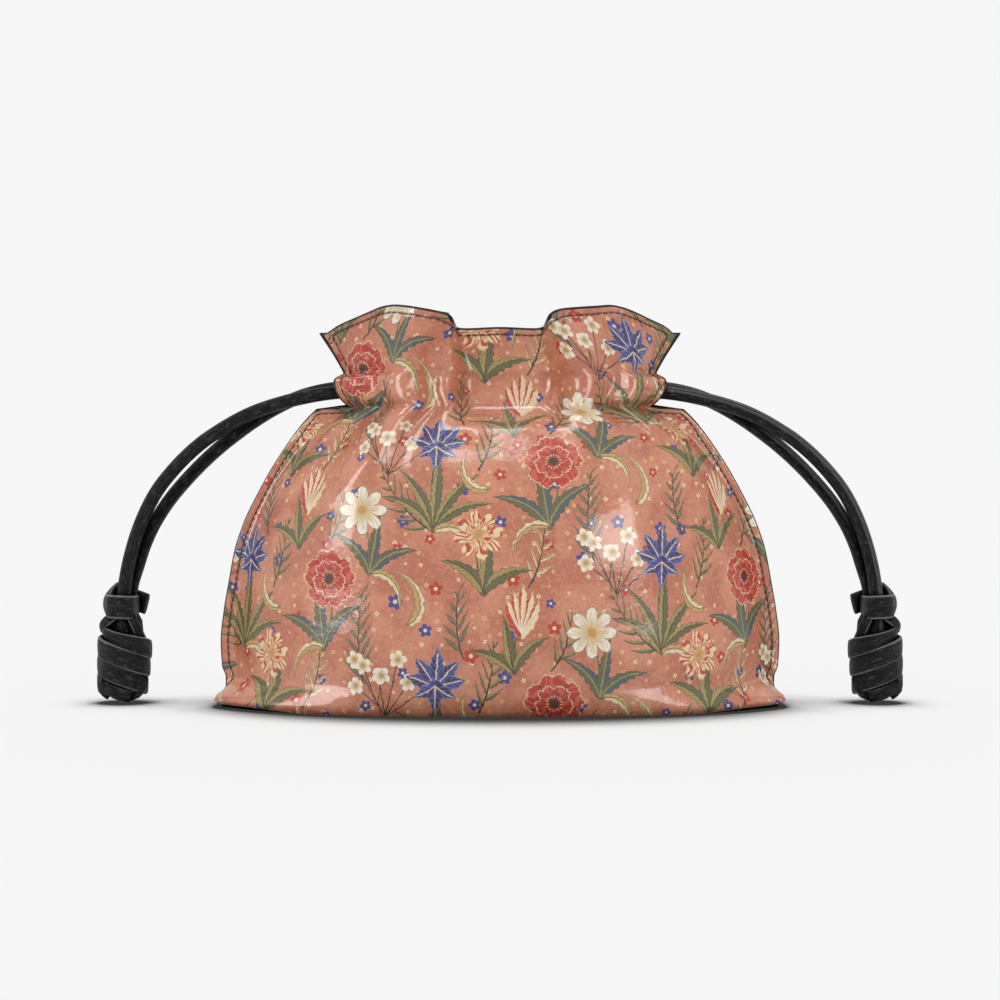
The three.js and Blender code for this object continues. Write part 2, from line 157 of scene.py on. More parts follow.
def routeThrough(points, spacing):
    # a smooth line through points, with its own points at an even spacing
    points = np.asarray(points, float)
    knots = np.concatenate([[0], np.cumsum(np.linalg.norm(np.diff(points, axis=0), axis=1) ** 0.5)])
    padded = np.vstack([2 * points[0] - points[1], points, 2 * points[-1] - points[-2]])
    times = np.concatenate([[2 * knots[0] - knots[1]], knots, [2 * knots[-1] - knots[-2]]])
    line = []
    for i in range(1, len(points)):
        t = np.linspace(times[i], times[i + 1], 24, endpoint=False)[:, None]
        p, k = padded[i - 1:i + 3], times[i - 1:i + 3]
        a = [(k[j + 1] - t) / (k[j + 1] - k[j]) * p[j] + (t - k[j]) / (k[j + 1] - k[j]) * p[j + 1] for j in range(3)]
        b = [(k[j + 2] - t) / (k[j + 2] - k[j]) * a[j] + (t - k[j]) / (k[j + 2] - k[j]) * a[j + 1] for j in range(2)]
        line.append((k[2] - t) / (k[2] - k[1]) * b[0] + (t - k[1]) / (k[2] - k[1]) * b[1])
    line = np.vstack(line + [points[-1:]])
    total = lengthAlong(line)[-1]
    return pointsAt(line, np.linspace(0, total, max(2, round(total / spacing) + 1)))


def carriedFrames(path, first):
    # two directions across a path, carried along it without twisting
    tangents = unit(np.gradient(path, axis=0))
    sides, side = [], np.asarray(first, float)
    for tangent in tangents:
        side = unit(side - tangent * np.dot(side, tangent))
        sides.append(side)
    return np.array(sides), np.cross(tangents, sides)


# ---- cords

cordLook = {
    "diameter": 5.8, "sides": 32, "spacing": 1.0, "roundness": 0.97,
    "seamAt": 0.6, "seamDepth": 0.22, "seamWidth": 0.16,  # the seam's place and width are in radians
    # strength of the painted highlight, a pale line beside the seam where the round cord catches the light
    "seamUp": (0, -0.4, 1), "edgeHighlight": 0.7,
}
# middles of the left side's strands, the same points as in the part's source; the right side mirrors them
strandRoutes = {
    "front": [
        (-65.1, -3.4, 131.4), (-68.9, -3.3, 131.2), (-76.5, -3.1, 130.2), (-84.1, -2.9, 128.7),
        (-90.8, -2.6, 127.1), (-97.6, -2.2, 125.1), (-104.4, -1.8, 122.6), (-111.2, -1.4, 119.3),
        (-117.9, -0.9, 115.4), (-124.8, -0.4, 110.8), (-131.6, 0.2, 105.1), (-138.5, 0.9, 98.0),
        (-144.7, 1.7, 90.2), (-149.3, 2.6, 82.2), (-152.9, 3.5, 74.1), (-155.8, 4.4, 65.6),
        (-158.0, 5.2, 57.1), (-159.3, 5.9, 49.9), (-159.9, 6.3, 43.0), (-160.1, 6.5, 36.0), (-160.1, 6.6, 29.6)],
    "back": [
        (-65.6, 2.9, 133.4), (-69.4, 3.0, 133.2), (-77.1, 3.2, 131.9), (-84.7, 3.4, 129.7),
        (-91.5, 3.7, 126.7), (-98.4, 4.1, 123.0), (-105.2, 4.5, 118.7), (-112.0, 4.9, 113.8),
        (-118.9, 5.4, 108.4), (-125.8, 5.9, 102.2), (-132.7, 6.5, 95.2), (-139.4, 7.2, 87.5),
        (-144.2, 8.0, 80.9), (-148.4, 8.9, 73.9), (-152.0, 9.8, 65.9), (-154.7, 10.6, 57.9),
        (-157.2, 11.4, 50.3), (-158.6, 12.1, 43.0), (-158.8, 12.5, 36.0), (-158.9, 12.6, 29.6)],
}


def strandTube(name, route):
    # rolled leather: round, with one fine seam where the roll closes
    look = cordLook
    path = routeThrough(route, look["spacing"] * mm)
    sides, ups = carriedFrames(path, look["seamUp"])
    rings, count, half = len(path), look["sides"], look["diameter"] * mm / 2
    angles = np.linspace(0, 2 * math.pi, count, endpoint=False)
    gap = np.abs((angles - look["seamAt"] + math.pi) % (2 * math.pi) - math.pi)
    radius = half - look["seamDepth"] * mm * np.exp(-(gap / look["seamWidth"]) ** 2)
    x = radius * np.cos(angles)
    y = radius * np.sin(angles) * look["roundness"]
    grid = path[:, None] + x[None, :, None] * sides[:, None] + y[None, :, None] * ups[:, None]
    points = np.vstack([grid.reshape(-1, 3), path[:1], path[-1:]])
    length = lengthAlong(path)
    flat = np.stack([np.tile(angles * half, rings), np.repeat(length, count)], axis=1)
    flat = np.vstack([flat, [[0, 0], [0, length[-1]]]])
    piece = meshPiece(name, points, tubeFaces(rings, count), {"flat": flat})
    # a painted highlight: a pale line just beside the seam, where the rolled leather catches the light
    beside = np.exp(-((gap - look["seamWidth"] * 1.7) / (look["seamWidth"] * 0.7)) ** 2)
    pointValues(piece, "edgeHighlight", np.concatenate([np.tile(beside * look["edgeHighlight"], rings), [0, 0]]))
    return piece, path, length[-1]


strands = []
for side, sign in (("left", 1), ("right", -1)):
    for place, route in strandRoutes.items():
        turnedRoute = [(sign * x * mm, y * mm, z * mm) for x, y, z in route]
        piece, path, length = strandTube(f"{side}_{place}_cord", turnedRoute)
        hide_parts(f"{side}_{place}_strand")
        strands.append({"piece": piece, "path": path, "length": length, "side": side})
        print(piece.name, "is", round(length * 1000, 1), "mm long")

# ---- leather panels

leatherCut = {
    "thickness": 1.6,
    "shareColumns": 132,  # across the wall, between the two flanges
    "flangeColumns": 6,  # across one flange
    "bodyRows": 96,
    "casingRows": 20,
    "ruffleRows": 26,
    "neckHalfDepth": 26.0,
    "stitchInset": 2.9,  # from the cut edge to the stitching
    "edgeRound": 0.35,
    "turnedFrom": 0.238,  # where the rim turns back into the valley, as shares of the half width
    "turnedTo": 0.272,
    "turnedDeep": 2.4,
    "cornerLift": 1.3,  # how far the bottom corners stand off the ground
    "cornerShares": (0.6, 0.93),  # where that lift begins and is whole, as shares of the half width
    "cornerHeight": 16,  # where it has died out
    "creaseHeights": (4, 20),  # the creases fade in between these
    "creaseEnd": 8,  # a greater number takes them nearer to the side seams
    "rimRise": 1.3,  # a greater number lets the rim rise later
    "middleColumns": 25,  # beside the middle, for the length of the flat leather
    "liftShare": 0.9,  # of the rim's rise, on the flat leather
}
# height, half width to the cut edge, half width to the fold, face at the edge, face at the fold, depth, squareness
bodyRows = [
    (0.00, 117.88, 116.98, 1.75, 11.01, 47.69, 3.4), (1.62, 119.80, 118.90, 1.75, 11.50, 49.21, 3.4),
    (6.72, 115.54, 114.64, 1.75, 7.60, 50.59, 3.4), (11.44, 115.19, 112.04, 1.75, 1.75, 51.00, 3.3),
    (16.17, 116.71, 112.21, 1.75, 1.75, 51.00, 3.2), (27.37, 117.30, 112.80, 1.75, 1.75, 51.00, 3.1),
    (39.81, 116.01, 111.51, 1.75, 1.75, 50.90, 3.0), (52.25, 113.90, 109.40, 1.75, 1.75, 50.39, 3.0),
    (65.31, 111.43, 106.93, 1.75, 1.75, 49.16, 3.0), (78.00, 107.09, 102.59, 1.75, 1.75, 46.82, 3.0),
    (89.94, 101.23, 96.73, 1.75, 1.75, 43.35, 3.1), (99.02, 96.19, 91.01, 1.75, 1.75, 39.78, 3.3),
    (106.98, 91.14, 84.84, 1.75, 1.75, 35.70, 3.6), (115.44, 85.16, 76.61, 1.75, 1.75, 31.20, 4.0),
    (121.04, 80.47, 67.87, 1.75, 1.75, 28.40, 4.6), (124.40, 76.95, 61.65, 1.75, 1.75, 27.00, 5.0),
]
casingRows = [
    (125.00, 63.68, 61.28, 1.75, 1.75, 26.80, 5.0), (127.74, 66.47, 63.47, 7.92, 7.92, 25.80, 6.0),
    (132.90, 69.18, 66.18, 8.60, 8.60, 24.50, 6.0), (136.26, 69.30, 66.30, 7.57, 7.57, 24.30, 6.0),
    (139.40, 65.53, 62.53, 1.75, 1.75, 25.20, 5.0),
]
ruffleRows = [
    (139.40, 65.53, 62.53, 1.75, 1.75, 25.20, 5.0), (145.96, 69.22, 66.22, 1.75, 1.75, 28.44, 4.4),
    (151.08, 72.48, 69.48, 1.75, 1.75, 32.40, 3.8), (156.20, 75.90, 72.90, 1.75, 1.75, 36.00, 3.5),
]
# place at the neck and at the rim, flat half, soft flank, height where it dies out, reach at the neck and the rim
gathers = [
    (0.05, 0.0, 0.22, 0.22, 0.92, -0.4, -0.7), (-0.8, -0.8, 0, 0.13, 0.5, -0.2, -0.05),
    (-0.6, -0.56, 0, 0.13, 0.42, 0.12, 0.05), (-0.42, -0.42, 0, 0.12, 0.6, -0.17, -0.06),
    (0.53, 0.46, 0, 0.13, 0.45, 0.1, 0.05), (0.7, 0.68, 0, 0.12, 0.55, -0.18, -0.07),
    (0.86, 0.88, 0, 0.1, 0.4, 0.09, 0.02),
]
# share of the half width at the neck, and the share that the same leather has at the rim
fanOut = [(0, 0), (0.2, 0.232), (0.4, 0.27), (0.45, 0.315), (1, 1)]
# share of the half width at the rim, and how far the rim rises there, in millimetres
rimLift = [
    (-1, 0), (-0.942, 2.2), (-0.82, 5.2), (-0.737, 7.3), (-0.66, 9.0), (-0.6, 9.3), (-0.55, 8.9), (-0.449, 7.5),
    (-0.36, 6.3), (-0.3, 5.4), (-0.27, 4.4), (-0.236, 0.7), (-0.2, 0.4), (0, 0.9), (0.2, 0.4), (0.236, 0.9),
    (0.274, 5.0), (0.348, 6.9), (0.449, 7.9), (0.55, 8.8), (0.62, 9.4), (0.69, 8.7), (0.761, 7.2), (0.858, 4.6),
    (0.956, 2.2), (1, 0),
]
# Creases over the gathers: how far the leather stands out (or in), half width of the flank, points across and up.
# All in millimetres, as seen from the front; the back has them too, the other way round.
creases = [
    (1.7, 4.2, [(-41, 120), (-53, 103), (-64, 91), (-76, 83)]), (1.0, 4.0, [(-73, 109), (-89, 86), (-101, 67)]),
    (1.6, 4.0, [(47, 128), (55, 115), (62, 101)]), (1.1, 4.5, [(73, 116), (82, 101), (90, 88)]),
    (1.0, 2.2, [(-62, 139), (-54, 144)]), (1.1, 3.2, [(-36, 160), (-35, 146), (-33, 133)]),
    (1.0, 3.4, [(43, 160), (44, 147), (45, 134)]), (0.9, 3.0, [(-24, 131), (-17, 121), (-9, 112)]),
    (0.8, 3.2, [(26, 150), (27, 138), (22, 126), (10, 118)]), (-0.9, 2.8, [(-60, 131), (-50, 118)]),
    (-0.9, 3.0, [(62, 131), (66, 120)]), (-0.9, 6.0, [(20, 122), (26, 104), (28, 88)]),
    (-0.8, 6.5, [(-20, 108), (-30, 92), (-36, 76)]),
]
# Broad dents and swells: middle across and up, half size across and up, how far out.
swells = [
    (-70, 82, 26, 20, 1.2), (42, 76, 26, 22, 1.4), (0, 60, 34, 16, -0.7), (-58, 50, 30, 14, -0.6),
    (84, 60, 22, 24, -0.7), (-24, 30, 40, 14, 0.6), (60, 28, 34, 14, 0.5),
]


def rowsOf(table, count):
    table = np.array(table)
    heights = np.linspace(table[0, 0], table[-1, 0], count)
    return np.stack([heights] + [smoothCurve(table[:, 0], table[:, i], heights) for i in range(1, 7)], axis=1)


def allRows():
    body, casing, ruffle = (rowsOf(table, leatherCut[name]) for table, name in (
        (bodyRows, "bodyRows"), (casingRows, "casingRows"), (ruffleRows, "ruffleRows")))
    return np.vstack([body, casing, ruffle[1:]])


def upTheRuffle(heights):
    return np.clip((heights - ruffleRows[0][0]) / (ruffleRows[-1][0] - ruffleRows[0][0]), 0, 1)


def foldReach(heights, shares, mirror):
    level = heights / bodyRows[-1][0]
    up = upTheRuffle(heights)
    total = np.zeros(np.broadcast(heights, shares).shape)
    for at, top, flat, soft, hem, neck, rim in gathers:
        place = (at + (top - at) * up) * mirror
        away = np.clip((np.abs(shares - place) - flat) / soft, 0, 1)
        reach = neck + (rim - neck) * up
        total = total + softStep(level, hem, 1) * reach * (1 + np.cos(math.pi * away)) / 2
    return total * leatherCut["neckHalfDepth"]


def fannedShares(heights, shares):
    # the gathers open out towards the rim, and the valley's walls get steep there
    at, wanted = np.array(fanOut).T
    fanned = np.sign(shares) * smoothCurve(at, wanted, np.minimum(np.abs(shares), 1))
    return shares + (fanned - shares) * softStep(upTheRuffle(heights), 0, 1)


def liftOfRim(heights, fanned, mirror):
    at, lift = np.array(rimLift).T
    return upTheRuffle(heights) ** leatherCut["rimRise"] * smoothCurve(at, lift, np.clip(fanned * mirror, -1, 1))


def distanceTo(line, places):
    nearest = np.full(len(places), 1e9)
    for a, b in zip(line[:-1], line[1:]):
        span = b - a
        t = np.clip((places - a) @ span / max(span @ span, 1e-18), 0, 1)
        nearest = np.minimum(nearest, np.linalg.norm(places - a - t[:, None] * span, axis=1))
    return nearest


def creaseReach(x, z):
    # how far the small creases and swells move the leather out
    total = np.zeros(x.shape)
    places = np.stack([x.ravel(), z.ravel()], axis=1)
    for out, width, line in creases:
        nearest = distanceTo(np.array(line, float), places).reshape(x.shape)
        total += out * np.exp(-(nearest / width) ** 2)
    for cx, cz, wide, tall, out in swells:
        total += out * np.exp(-((x - cx) / wide) ** 2 - ((z - cz) / tall) ** 2)
    return total


def wallGrid(side):
    # outer face of a panel, from its left edge to its right one as seen from outside, bottom row first
    cut, rows = leatherCut, allRows()
    heights, edge, turn, edgeFace, foldFace, depth, square = (rows[:, i:i + 1] for i in range(7))
    shares = np.linspace(-1, 1, cut["shareColumns"] + 1)[None]
    mirror = -side
    out = depth + (foldFace - depth) * np.abs(shares) ** square + foldReach(heights, shares, mirror)
    fanned = fannedShares(heights, shares)
    x = fanned * turn
    z = heights + liftOfRim(heights, fanned, mirror)
    calm = (1 - np.abs(shares) ** cut["creaseEnd"]) * softStep(heights, *cut["creaseHeights"])
    out = out + creaseReach(x * mirror, z) * calm
    lifted = cut["cornerLift"] * (1 - softStep(heights, 0, cut["cornerHeight"]))
    z = z + lifted * softStep(np.abs(shares), *cut["cornerShares"])
    part = np.linspace(0, 1, cut["flangeColumns"] + 1)[None, :-1]
    leftX = -(edge + (turn - edge) * part)
    leftOut = edgeFace + (foldFace - edgeFace) * part ** 2
    flangeZ = heights + lifted + 0 * leftX
    x = np.hstack([leftX, x, -leftX[:, ::-1]])
    out = np.hstack([leftOut, out, leftOut[:, ::-1]])
    z = np.hstack([flangeZ, z, flangeZ])
    # seen from behind, left and right change places
    return np.stack([-side * x, side * out, z], axis=2) * mm, rows


def flatMap(grid):
    # where each point lay on the flat leather: its way along the row from the middle, and up the middle
    steps = np.linalg.norm(np.diff(grid, axis=1), axis=2)
    along = np.hstack([np.zeros((len(grid), 1)), np.cumsum(steps, axis=1)])
    middle, reach = grid.shape[1] // 2, leatherCut["middleColumns"]
    along = along - along[:, middle:middle + 1]
    rising = np.linalg.norm(np.diff(grid, axis=0), axis=2)[:, middle - reach:middle + reach + 1]
    up = np.concatenate([[0], np.cumsum(rising.mean(axis=1))])[:, None]
    lift = grid[..., 2] - grid[:, middle:middle + 1, 2]
    return np.stack([along, up + lift * leatherCut["liftShare"]], axis=2)


def cutOutline(flat):
    # the cut edge on the flat leather: up the left side, along the rim and down the right side
    return np.vstack([flat[:, 0], flat[-1, 1:-1], flat[::-1, -1]])


def turnedRim(outer):
    # the faces along the rim that turn back into the valley and show only their painted edge
    rim = outer[-1]
    share = np.abs(rim[:, 0]) / (ruffleRows[-1][2] * mm)
    turned = (share > leatherCut["turnedFrom"]) & (share < leatherCut["turnedTo"])
    below = rim[None, :, 2] - outer[..., 2]
    return (turned[None] & (below < leatherCut["turnedDeep"] * mm))[1:, 1:]


def leatherPanel(name, side):
    outer, rows = wallGrid(side)
    count, columns = outer.shape[:2]
    normals = gridNormals(outer)
    if normals[count // 3, columns // 2, 1] * side < 0:
        normals = -normals
    inner = outer - normals * (leatherCut["thickness"] * mm)
    for end in (0, -1):
        inner[end, :, 2] = outer[end, :, 2]
    # round the cut edge runs one more line of points half way through, which makes it round
    up, along = np.array([(0, c) for c in range(columns)] + [(r, columns - 1) for r in range(1, count)]
                         + [(count - 1, c) for c in range(columns - 2, -1, -1)]
                         + [(r, 0) for r in range(count - 2, 0, -1)]).T
    edge = outer[up, along]
    step = unit(edge - outer[np.clip(up, 1, count - 2), np.clip(along, 1, columns - 2)])
    step = step * leatherCut["edgeRound"] * mm
    step[edge[:, 2] < 1e-6] = 0
    points = np.vstack([outer.reshape(-1, 3), inner.reshape(-1, 3), (edge + inner[up, along]) / 2 + step])
    size = count * columns
    outerFaces = gridFaces(count, columns)
    innerFaces = gridFaces(count, columns, size, flip=True)
    edgeFaces = []
    corners = (up * columns + along).tolist()
    for i, a in enumerate(corners):
        j = (i + 1) % len(corners)
        b, m, n = corners[j], 2 * size + i, 2 * size + j
        edgeFaces += [[b, a, m, n], [n, m, size + a, size + b]]
    faces = outerFaces + innerFaces + edgeFaces
    kinds = list(np.where(turnedRim(outer).ravel(), 2, 0)) + [1] * len(innerFaces) + [2] * len(edgeFaces)
    flat = flatMap(outer)
    away = distanceTo(cutOutline(flat), flat.reshape(-1, 2)).reshape(count, columns)
    pairs = np.vstack([flat.reshape(-1, 2), flat.reshape(-1, 2), flat[up, along]])
    piece = meshPiece(name, points, faces, {"flat": pairs}, kinds)
    pointValues(piece, "edgeDistance", np.concatenate([away.ravel(), away.ravel(), away[up, along]]))
    wide = np.linalg.norm(np.diff(outer, axis=1)[:-1], axis=2)
    high = np.linalg.norm(np.diff(outer, axis=0)[:, :-1], axis=2)
    area = float((wide * high).sum())
    print(name, "has", len(faces), "faces, and", round(area * 1e4), "square cm of leather")
    return piece, outer, normals, flat, area

# ---- stitches, by geometry nodes along the stitch lines

stitchLook = {
    "length": 2.5, "gap": 0.4, "thickness": 0.45, "sunk": 0.08,
    "lowest": 9.0,  # where the seam begins on the flat leather
    "pointSpacing": 0.8,
}


def stitchPath(outer, normals, flat):
    # a line over the leather that keeps the stitches' distance from the cut edge, with the way it faces
    inset = leatherCut["stitchInset"] * mm
    line = cutOutline(flat)
    ahead = unit(np.gradient(line, axis=0))
    wanted = line + np.stack([ahead[:, 1], -ahead[:, 0]], axis=1) * inset
    wanted = wanted[(distanceTo(line, wanted) > inset * 0.97) & (wanted[:, 1] > stitchLook["lowest"] * mm)]
    total = lengthAlong(wanted)[-1]
    wanted = pointsAt(wanted, np.linspace(0, total, int(total / (stitchLook["pointSpacing"] * mm))))
    slopes = [(np.gradient(flat, axis=axis), np.gradient(outer, axis=axis)) for axis in (1, 0)]
    places, facing = [], []
    for target in wanted:
        away = np.linalg.norm(flat - target, axis=2)
        r, c = np.unravel_index(np.argmin(away), away.shape)
        ways = np.stack([onFlat[r, c] for onFlat, onWall in slopes], axis=1)
        parts = np.clip(np.linalg.lstsq(ways, target - flat[r, c], rcond=None)[0], -1, 1)
        places.append(outer[r, c] + sum(part * onWall[r, c] for part, (onFlat, onWall) in zip(parts, slopes)))
        facing.append(normals[r, c])
    return np.array(places), np.array(facing)


def stitchTree(material):
    tree = bpy.data.node_groups.new("stitchRow", "GeometryNodeTree")
    tree.interface.new_socket("Geometry", in_out="INPUT", socket_type="NodeSocketGeometry")
    for title in ("Stitch length", "Gap", "Thickness"):
        tree.interface.new_socket(title, in_out="INPUT", socket_type="NodeSocketFloat")
    tree.interface.new_socket("Geometry", in_out="OUTPUT", socket_type="NodeSocketGeometry")
    entry = tree.nodes.new("NodeGroupInput")
    line, length, gap, thickness = (wire(tree, entry.outputs[i]) for i in range(4))

    def step(kind, output=0, settings=(), **inputs):
        return newNode(tree, kind, inputs.items(), output, **dict(settings))

    curve = step("GeometryNodeMeshToCurve", Mesh=line)
    even = step("GeometryNodeResampleCurve", settings={"mode": "LENGTH"}, Curve=curve, Length=length + gap)
    ball = step("GeometryNodeMeshUVSphere", Segments=8, Rings=5, Radius=0.5)
    thread = step("GeometryNodeSetShadeSmooth", Geometry=ball)
    size = step("ShaderNodeCombineXYZ", X=length, Y=thickness, Z=thickness)
    facing = step("GeometryNodeInputNamedAttribute", "Attribute", {"data_type": "FLOAT_VECTOR"}, Name="facing")
    align = "FunctionNodeAlignRotationToVector"
    along = step(align, settings={"axis": "X"}, Vector=step("GeometryNodeInputTangent"))
    outward = step(align, settings={"axis": "Z", "pivot_axis": "X"}, Rotation=along, Vector=facing)
    placed = step("GeometryNodeInstanceOnPoints", Points=even, Instance=thread, Rotation=outward, Scale=size)
    real = step("GeometryNodeRealizeInstances", Geometry=placed)
    done = step("GeometryNodeSetMaterial", Geometry=real, Material=material)
    plug(done, tree.nodes.new("NodeGroupOutput").inputs["Geometry"])
    return tree


def stitchRow(name, tree, places, facing):
    places = places + facing * stitchLook["thickness"] * mm * (0.5 - stitchLook["sunk"]) * 0.5
    mesh = bpy.data.meshes.new(name + "_line")
    mesh.from_pydata([tuple(p) for p in places], [(i, i + 1) for i in range(len(places) - 1)], [])
    attribute = mesh.attributes.new("facing", "FLOAT_VECTOR", "POINT")
    attribute.data.foreach_set("vector", facing.astype(np.float32).ravel())
    line = addObject(name + "_line", mesh)
    modifier = line.modifiers.new("stitches", "NODES")
    modifier.node_group = tree
    known = {item.name: item.identifier for item in tree.interface.items_tree if item.in_out == "INPUT"}
    for title, measure in (("Stitch length", "length"), ("Gap", "gap"), ("Thickness", "thickness")):
        modifier[known[title]] = stitchLook[measure] * mm
    graph = bpy.context.evaluated_depsgraph_get()
    result = bpy.data.meshes.new_from_object(line.evaluated_get(graph))
    line.modifiers.remove(modifier)
    bpy.data.objects.remove(line)
    print(name, "has", len(result.polygons), "faces")
    return addObject(name, result)


# ---- lining

liningLook = {
    "stock": 0.9, "gap": 0.3, "slotHalfWidth": 44.0, "slotHalfDepth": 5.2, "slotShare": 0.985, "endShare": 0.965,
    "narrowing": (99.5, 124.4), "widening": (140.2, 153.0),  # heights where the neck closes and opens again
    "lowest": 16.17, "floor": 2.3, "tuck": 4.0, "tuckRows": (0, 0.12, 0.3, 0.6),
}


def liningSack(name):
    look, walls = liningLook, []
    edge = leatherCut["flangeColumns"] + 2
    for side in (-1, 1):
        grid, rows = wallGrid(side)
        inside = grid - gridNormals(grid) * (leatherCut["thickness"] + look["gap"]) * mm
        inside[-1, :, 2] = grid[-1, :, 2]
        walls.append(inside[:, edge:-edge])
    heights = rows[:, :1]
    straight = softStep(heights, *look["narrowing"]) * (1 - softStep(heights, *look["widening"]))
    end = (rows[:, 2:3] * look["endShare"] * (1 - straight) + look["slotHalfWidth"] * straight) * mm
    ring = []
    for side, wall in zip((-1, 1), walls):
        share = np.linspace(-1, 1, wall.shape[1] + 2)[1:-1][None] * look["slotShare"]
        wall[..., 0] += (-side * share * look["slotHalfWidth"] * mm - wall[..., 0]) * straight
        wall[..., 1] += (side * look["slotHalfDepth"] * mm - wall[..., 1]) * straight
        ring += [np.stack([side * end, 0 * end, heights * mm], axis=2), wall]
    grid = np.concatenate(ring, axis=1)[heights[:, 0] >= look["lowest"]]
    floor = grid[:1].copy()
    floor[..., :2] *= 1 - look["tuck"] / max(row[5] for row in bodyRows)
    floor[..., 2] = look["floor"] * mm
    grid = np.concatenate([floor + (grid[:1] - floor) * t for t in look["tuckRows"]] + [grid])
    inner = grid - gridNormals(grid, wrap=True) * look["stock"] * mm
    inner[-1, :, 2] = grid[-1, :, 2]
    inner[0] = grid[0]
    inner[0, :, 2] += look["stock"] * mm
    count, columns = grid.shape[:2]
    size = count * columns
    points = np.vstack([grid.reshape(-1, 3), inner.reshape(-1, 3),
                        [[0, 0, look["floor"] * mm]], [[0, 0, (look["floor"] + look["stock"]) * mm]]])
    faces = gridFaces(count, columns, 0, wrap=True) + gridFaces(count, columns, size, wrap=True, flip=True)
    top = size - columns
    for c in range(columns):
        d = (c + 1) % columns
        faces += [[top + c, top + d, size + top + d, size + top + c],
                  [2 * size, d, c], [2 * size + 1, size + c, size + d]]
    return meshPiece(name, points, faces)


# ---- knots

# All in millimetres, round the left knot's own middle; the right knot is its mirror image.
knotLook = {
    "centre": (-160.2, 9.5), "strapWidth": 8.6, "strapThick": 2.1, "pitch": 7.5, "tilt": 2.7, "frontHeight": 27.0,
    "turnsFrom": 0.3, "turnsUntil": 3.62, "turnPoints": 190, "floor": 0.15, "sway": 0.4,
    "lift": 3.0, "looseTurns": 0.7,  # the first turns stand up, as a loose lobe
    "narrowTop": 0.5, "narrowTurns": (0.55, 0.95), "narrowSink": 0.42,  # and the strap is narrower there
    "bandLean": -0.9, "bandHalfWidth": 6.8, "bandHalfDepth": 8.8, "bandMiddle": 40.7, "bandHeight": 10.2,
    "bandThick": 1.8, "bandSquare": 0.72, "bandSlope": 0.4,
    "coreSides": 28, "coreMiddle": (0.3, 1.0), "strapSpacing": 0.7,
}
# height, half width, half depth, and how far the middle leans to the right
barrel = [(0, 7.4, 7.0, -2.2), (5, 9.2, 8.6, -1.8), (10, 10.8, 9.6, -0.9), (16, 11.5, 10.0, -0.3),
          (22, 11.3, 10.0, 0.3), (28, 10.5, 9.4, 0.7), (33, 10.0, 8.8, 0.4), (40, 8.4, 7.6, 0.0)]
# height, half width, half depth of the turns underneath
coreRows = [(0.6, 3.4, 3.4), (1.6, 6.0, 5.6), (5, 7.6, 7.0), (16, 9.6, 8.2), (24, 9.4, 8.0), (27.5, 8.6, 7.0),
            (30, 7.6, 4.6), (34.5, 7.2, 4.2), (37.5, 5.6, 4.0)]
# the other straps: width, thickness, where their outer face looks, and their middle line
coilStraps = [
    (6.0, 2.6, (-0.5, -1, -0.2), [(-7.9, -3.2, 12.0), (-7.9, -5.0, 8.6), (-6.9, -5.8, 5.4), (-4.6, -5.2, 3.4)]),
    (5.4, 3.0, (0, -1, -0.1), [(-7.0, -5.6, 6.6), (-3.4, -7.6, 5.2), (0.4, -8.0, 3.9), (3.8, -6.6, 2.9)]),
    (6.4, 2.4, (0.6, -1, 0), [(8.0, -2.8, 11.0), (7.6, -4.6, 7.8), (6.2, -5.8, 5.2), (3.6, -5.8, 4.0)]),
    (4.2, 1.8, (0.6, -1, 0), [(3.6, -5.0, 37.0), (5.4, -5.2, 33.5), (6.8, -4.6, 30.0), (7.4, -3.4, 26.5)]),
    (4.6, 1.9, (-0.7, -1, 0.2), [(-3.4, -4.6, 37.0), (-6.2, -4.4, 35.0), (-8.4, -3.0, 32.6), (-8.6, -0.5, 29.5)]),
]
bandStraps = [
    (7.0, 1.9, (-1, -0.5, 0.4), [(-5.8, -3.0, 38.5), (-6.9, -2.2, 42.0), (-6.7, -0.4, 45.8), (-5.2, 2.6, 47.9),
                                 (-3.0, 5.6, 47.2), (-1.6, 8.2, 43.5)]),
    (7.6, 1.8, (-1, -0.2, 0.6), [(-4.6, 0.5, 44.0), (-4.2, 3.6, 45.4), (-2.6, 6.2, 45.0), (-0.6, 7.8, 42.5)]),
    (9.2, 1.9, (0.35, 1, 0), [(-2.0, 9.6, 44.6), (2.4, 9.4, 43.1), (5.6, 8.6, 42.0), (8.2, 7.2, 41.2)]),
]


# Across a strap, as shares of its half width: the points of the crowned outer face and of the flat inner face.
# The rolls are the low ridges beside its edges, with their height as a share of the thickness.
strapCut = {
    "outside": [-1, -0.97, -0.92, -0.86, -0.78, -0.6, -0.3, 0, 0.3, 0.6, 0.78, 0.86, 0.92, 0.97, 1],
    "inside": [0.9, 0.5, 0, -0.5, -0.9],
    # the last two place the painted highlight near each edge of the outer face, and its spread
    "crown": 0.55, "roll": 0.16, "rollAt": 0.87, "rollWidth": 0.05, "edgeHighlightAt": 0.9, "edgeHighlightWidth": 0.06,
}


def strapSection(width, thick):
    cut = strapCut
    outside, under = np.array(cut["outside"]), len(cut["inside"])
    far = np.abs(outside)
    crown = 0.5 - cut["crown"] * far ** 5 + cut["roll"] * np.exp(-((far - cut["rollAt"]) / cut["rollWidth"]) ** 2)
    across = np.concatenate([outside, cut["inside"]]) * width / 2
    height = np.concatenate([crown, np.full(under, -0.5)]) * thick
    # a painted highlight near each edge of the crowned face, where the rounded edges catch the light
    edgeHighlight = np.concatenate([np.exp(-((far - cut["edgeHighlightAt"]) / cut["edgeHighlightWidth"]) ** 2), np.zeros(under)])
    return across, height, edgeHighlight


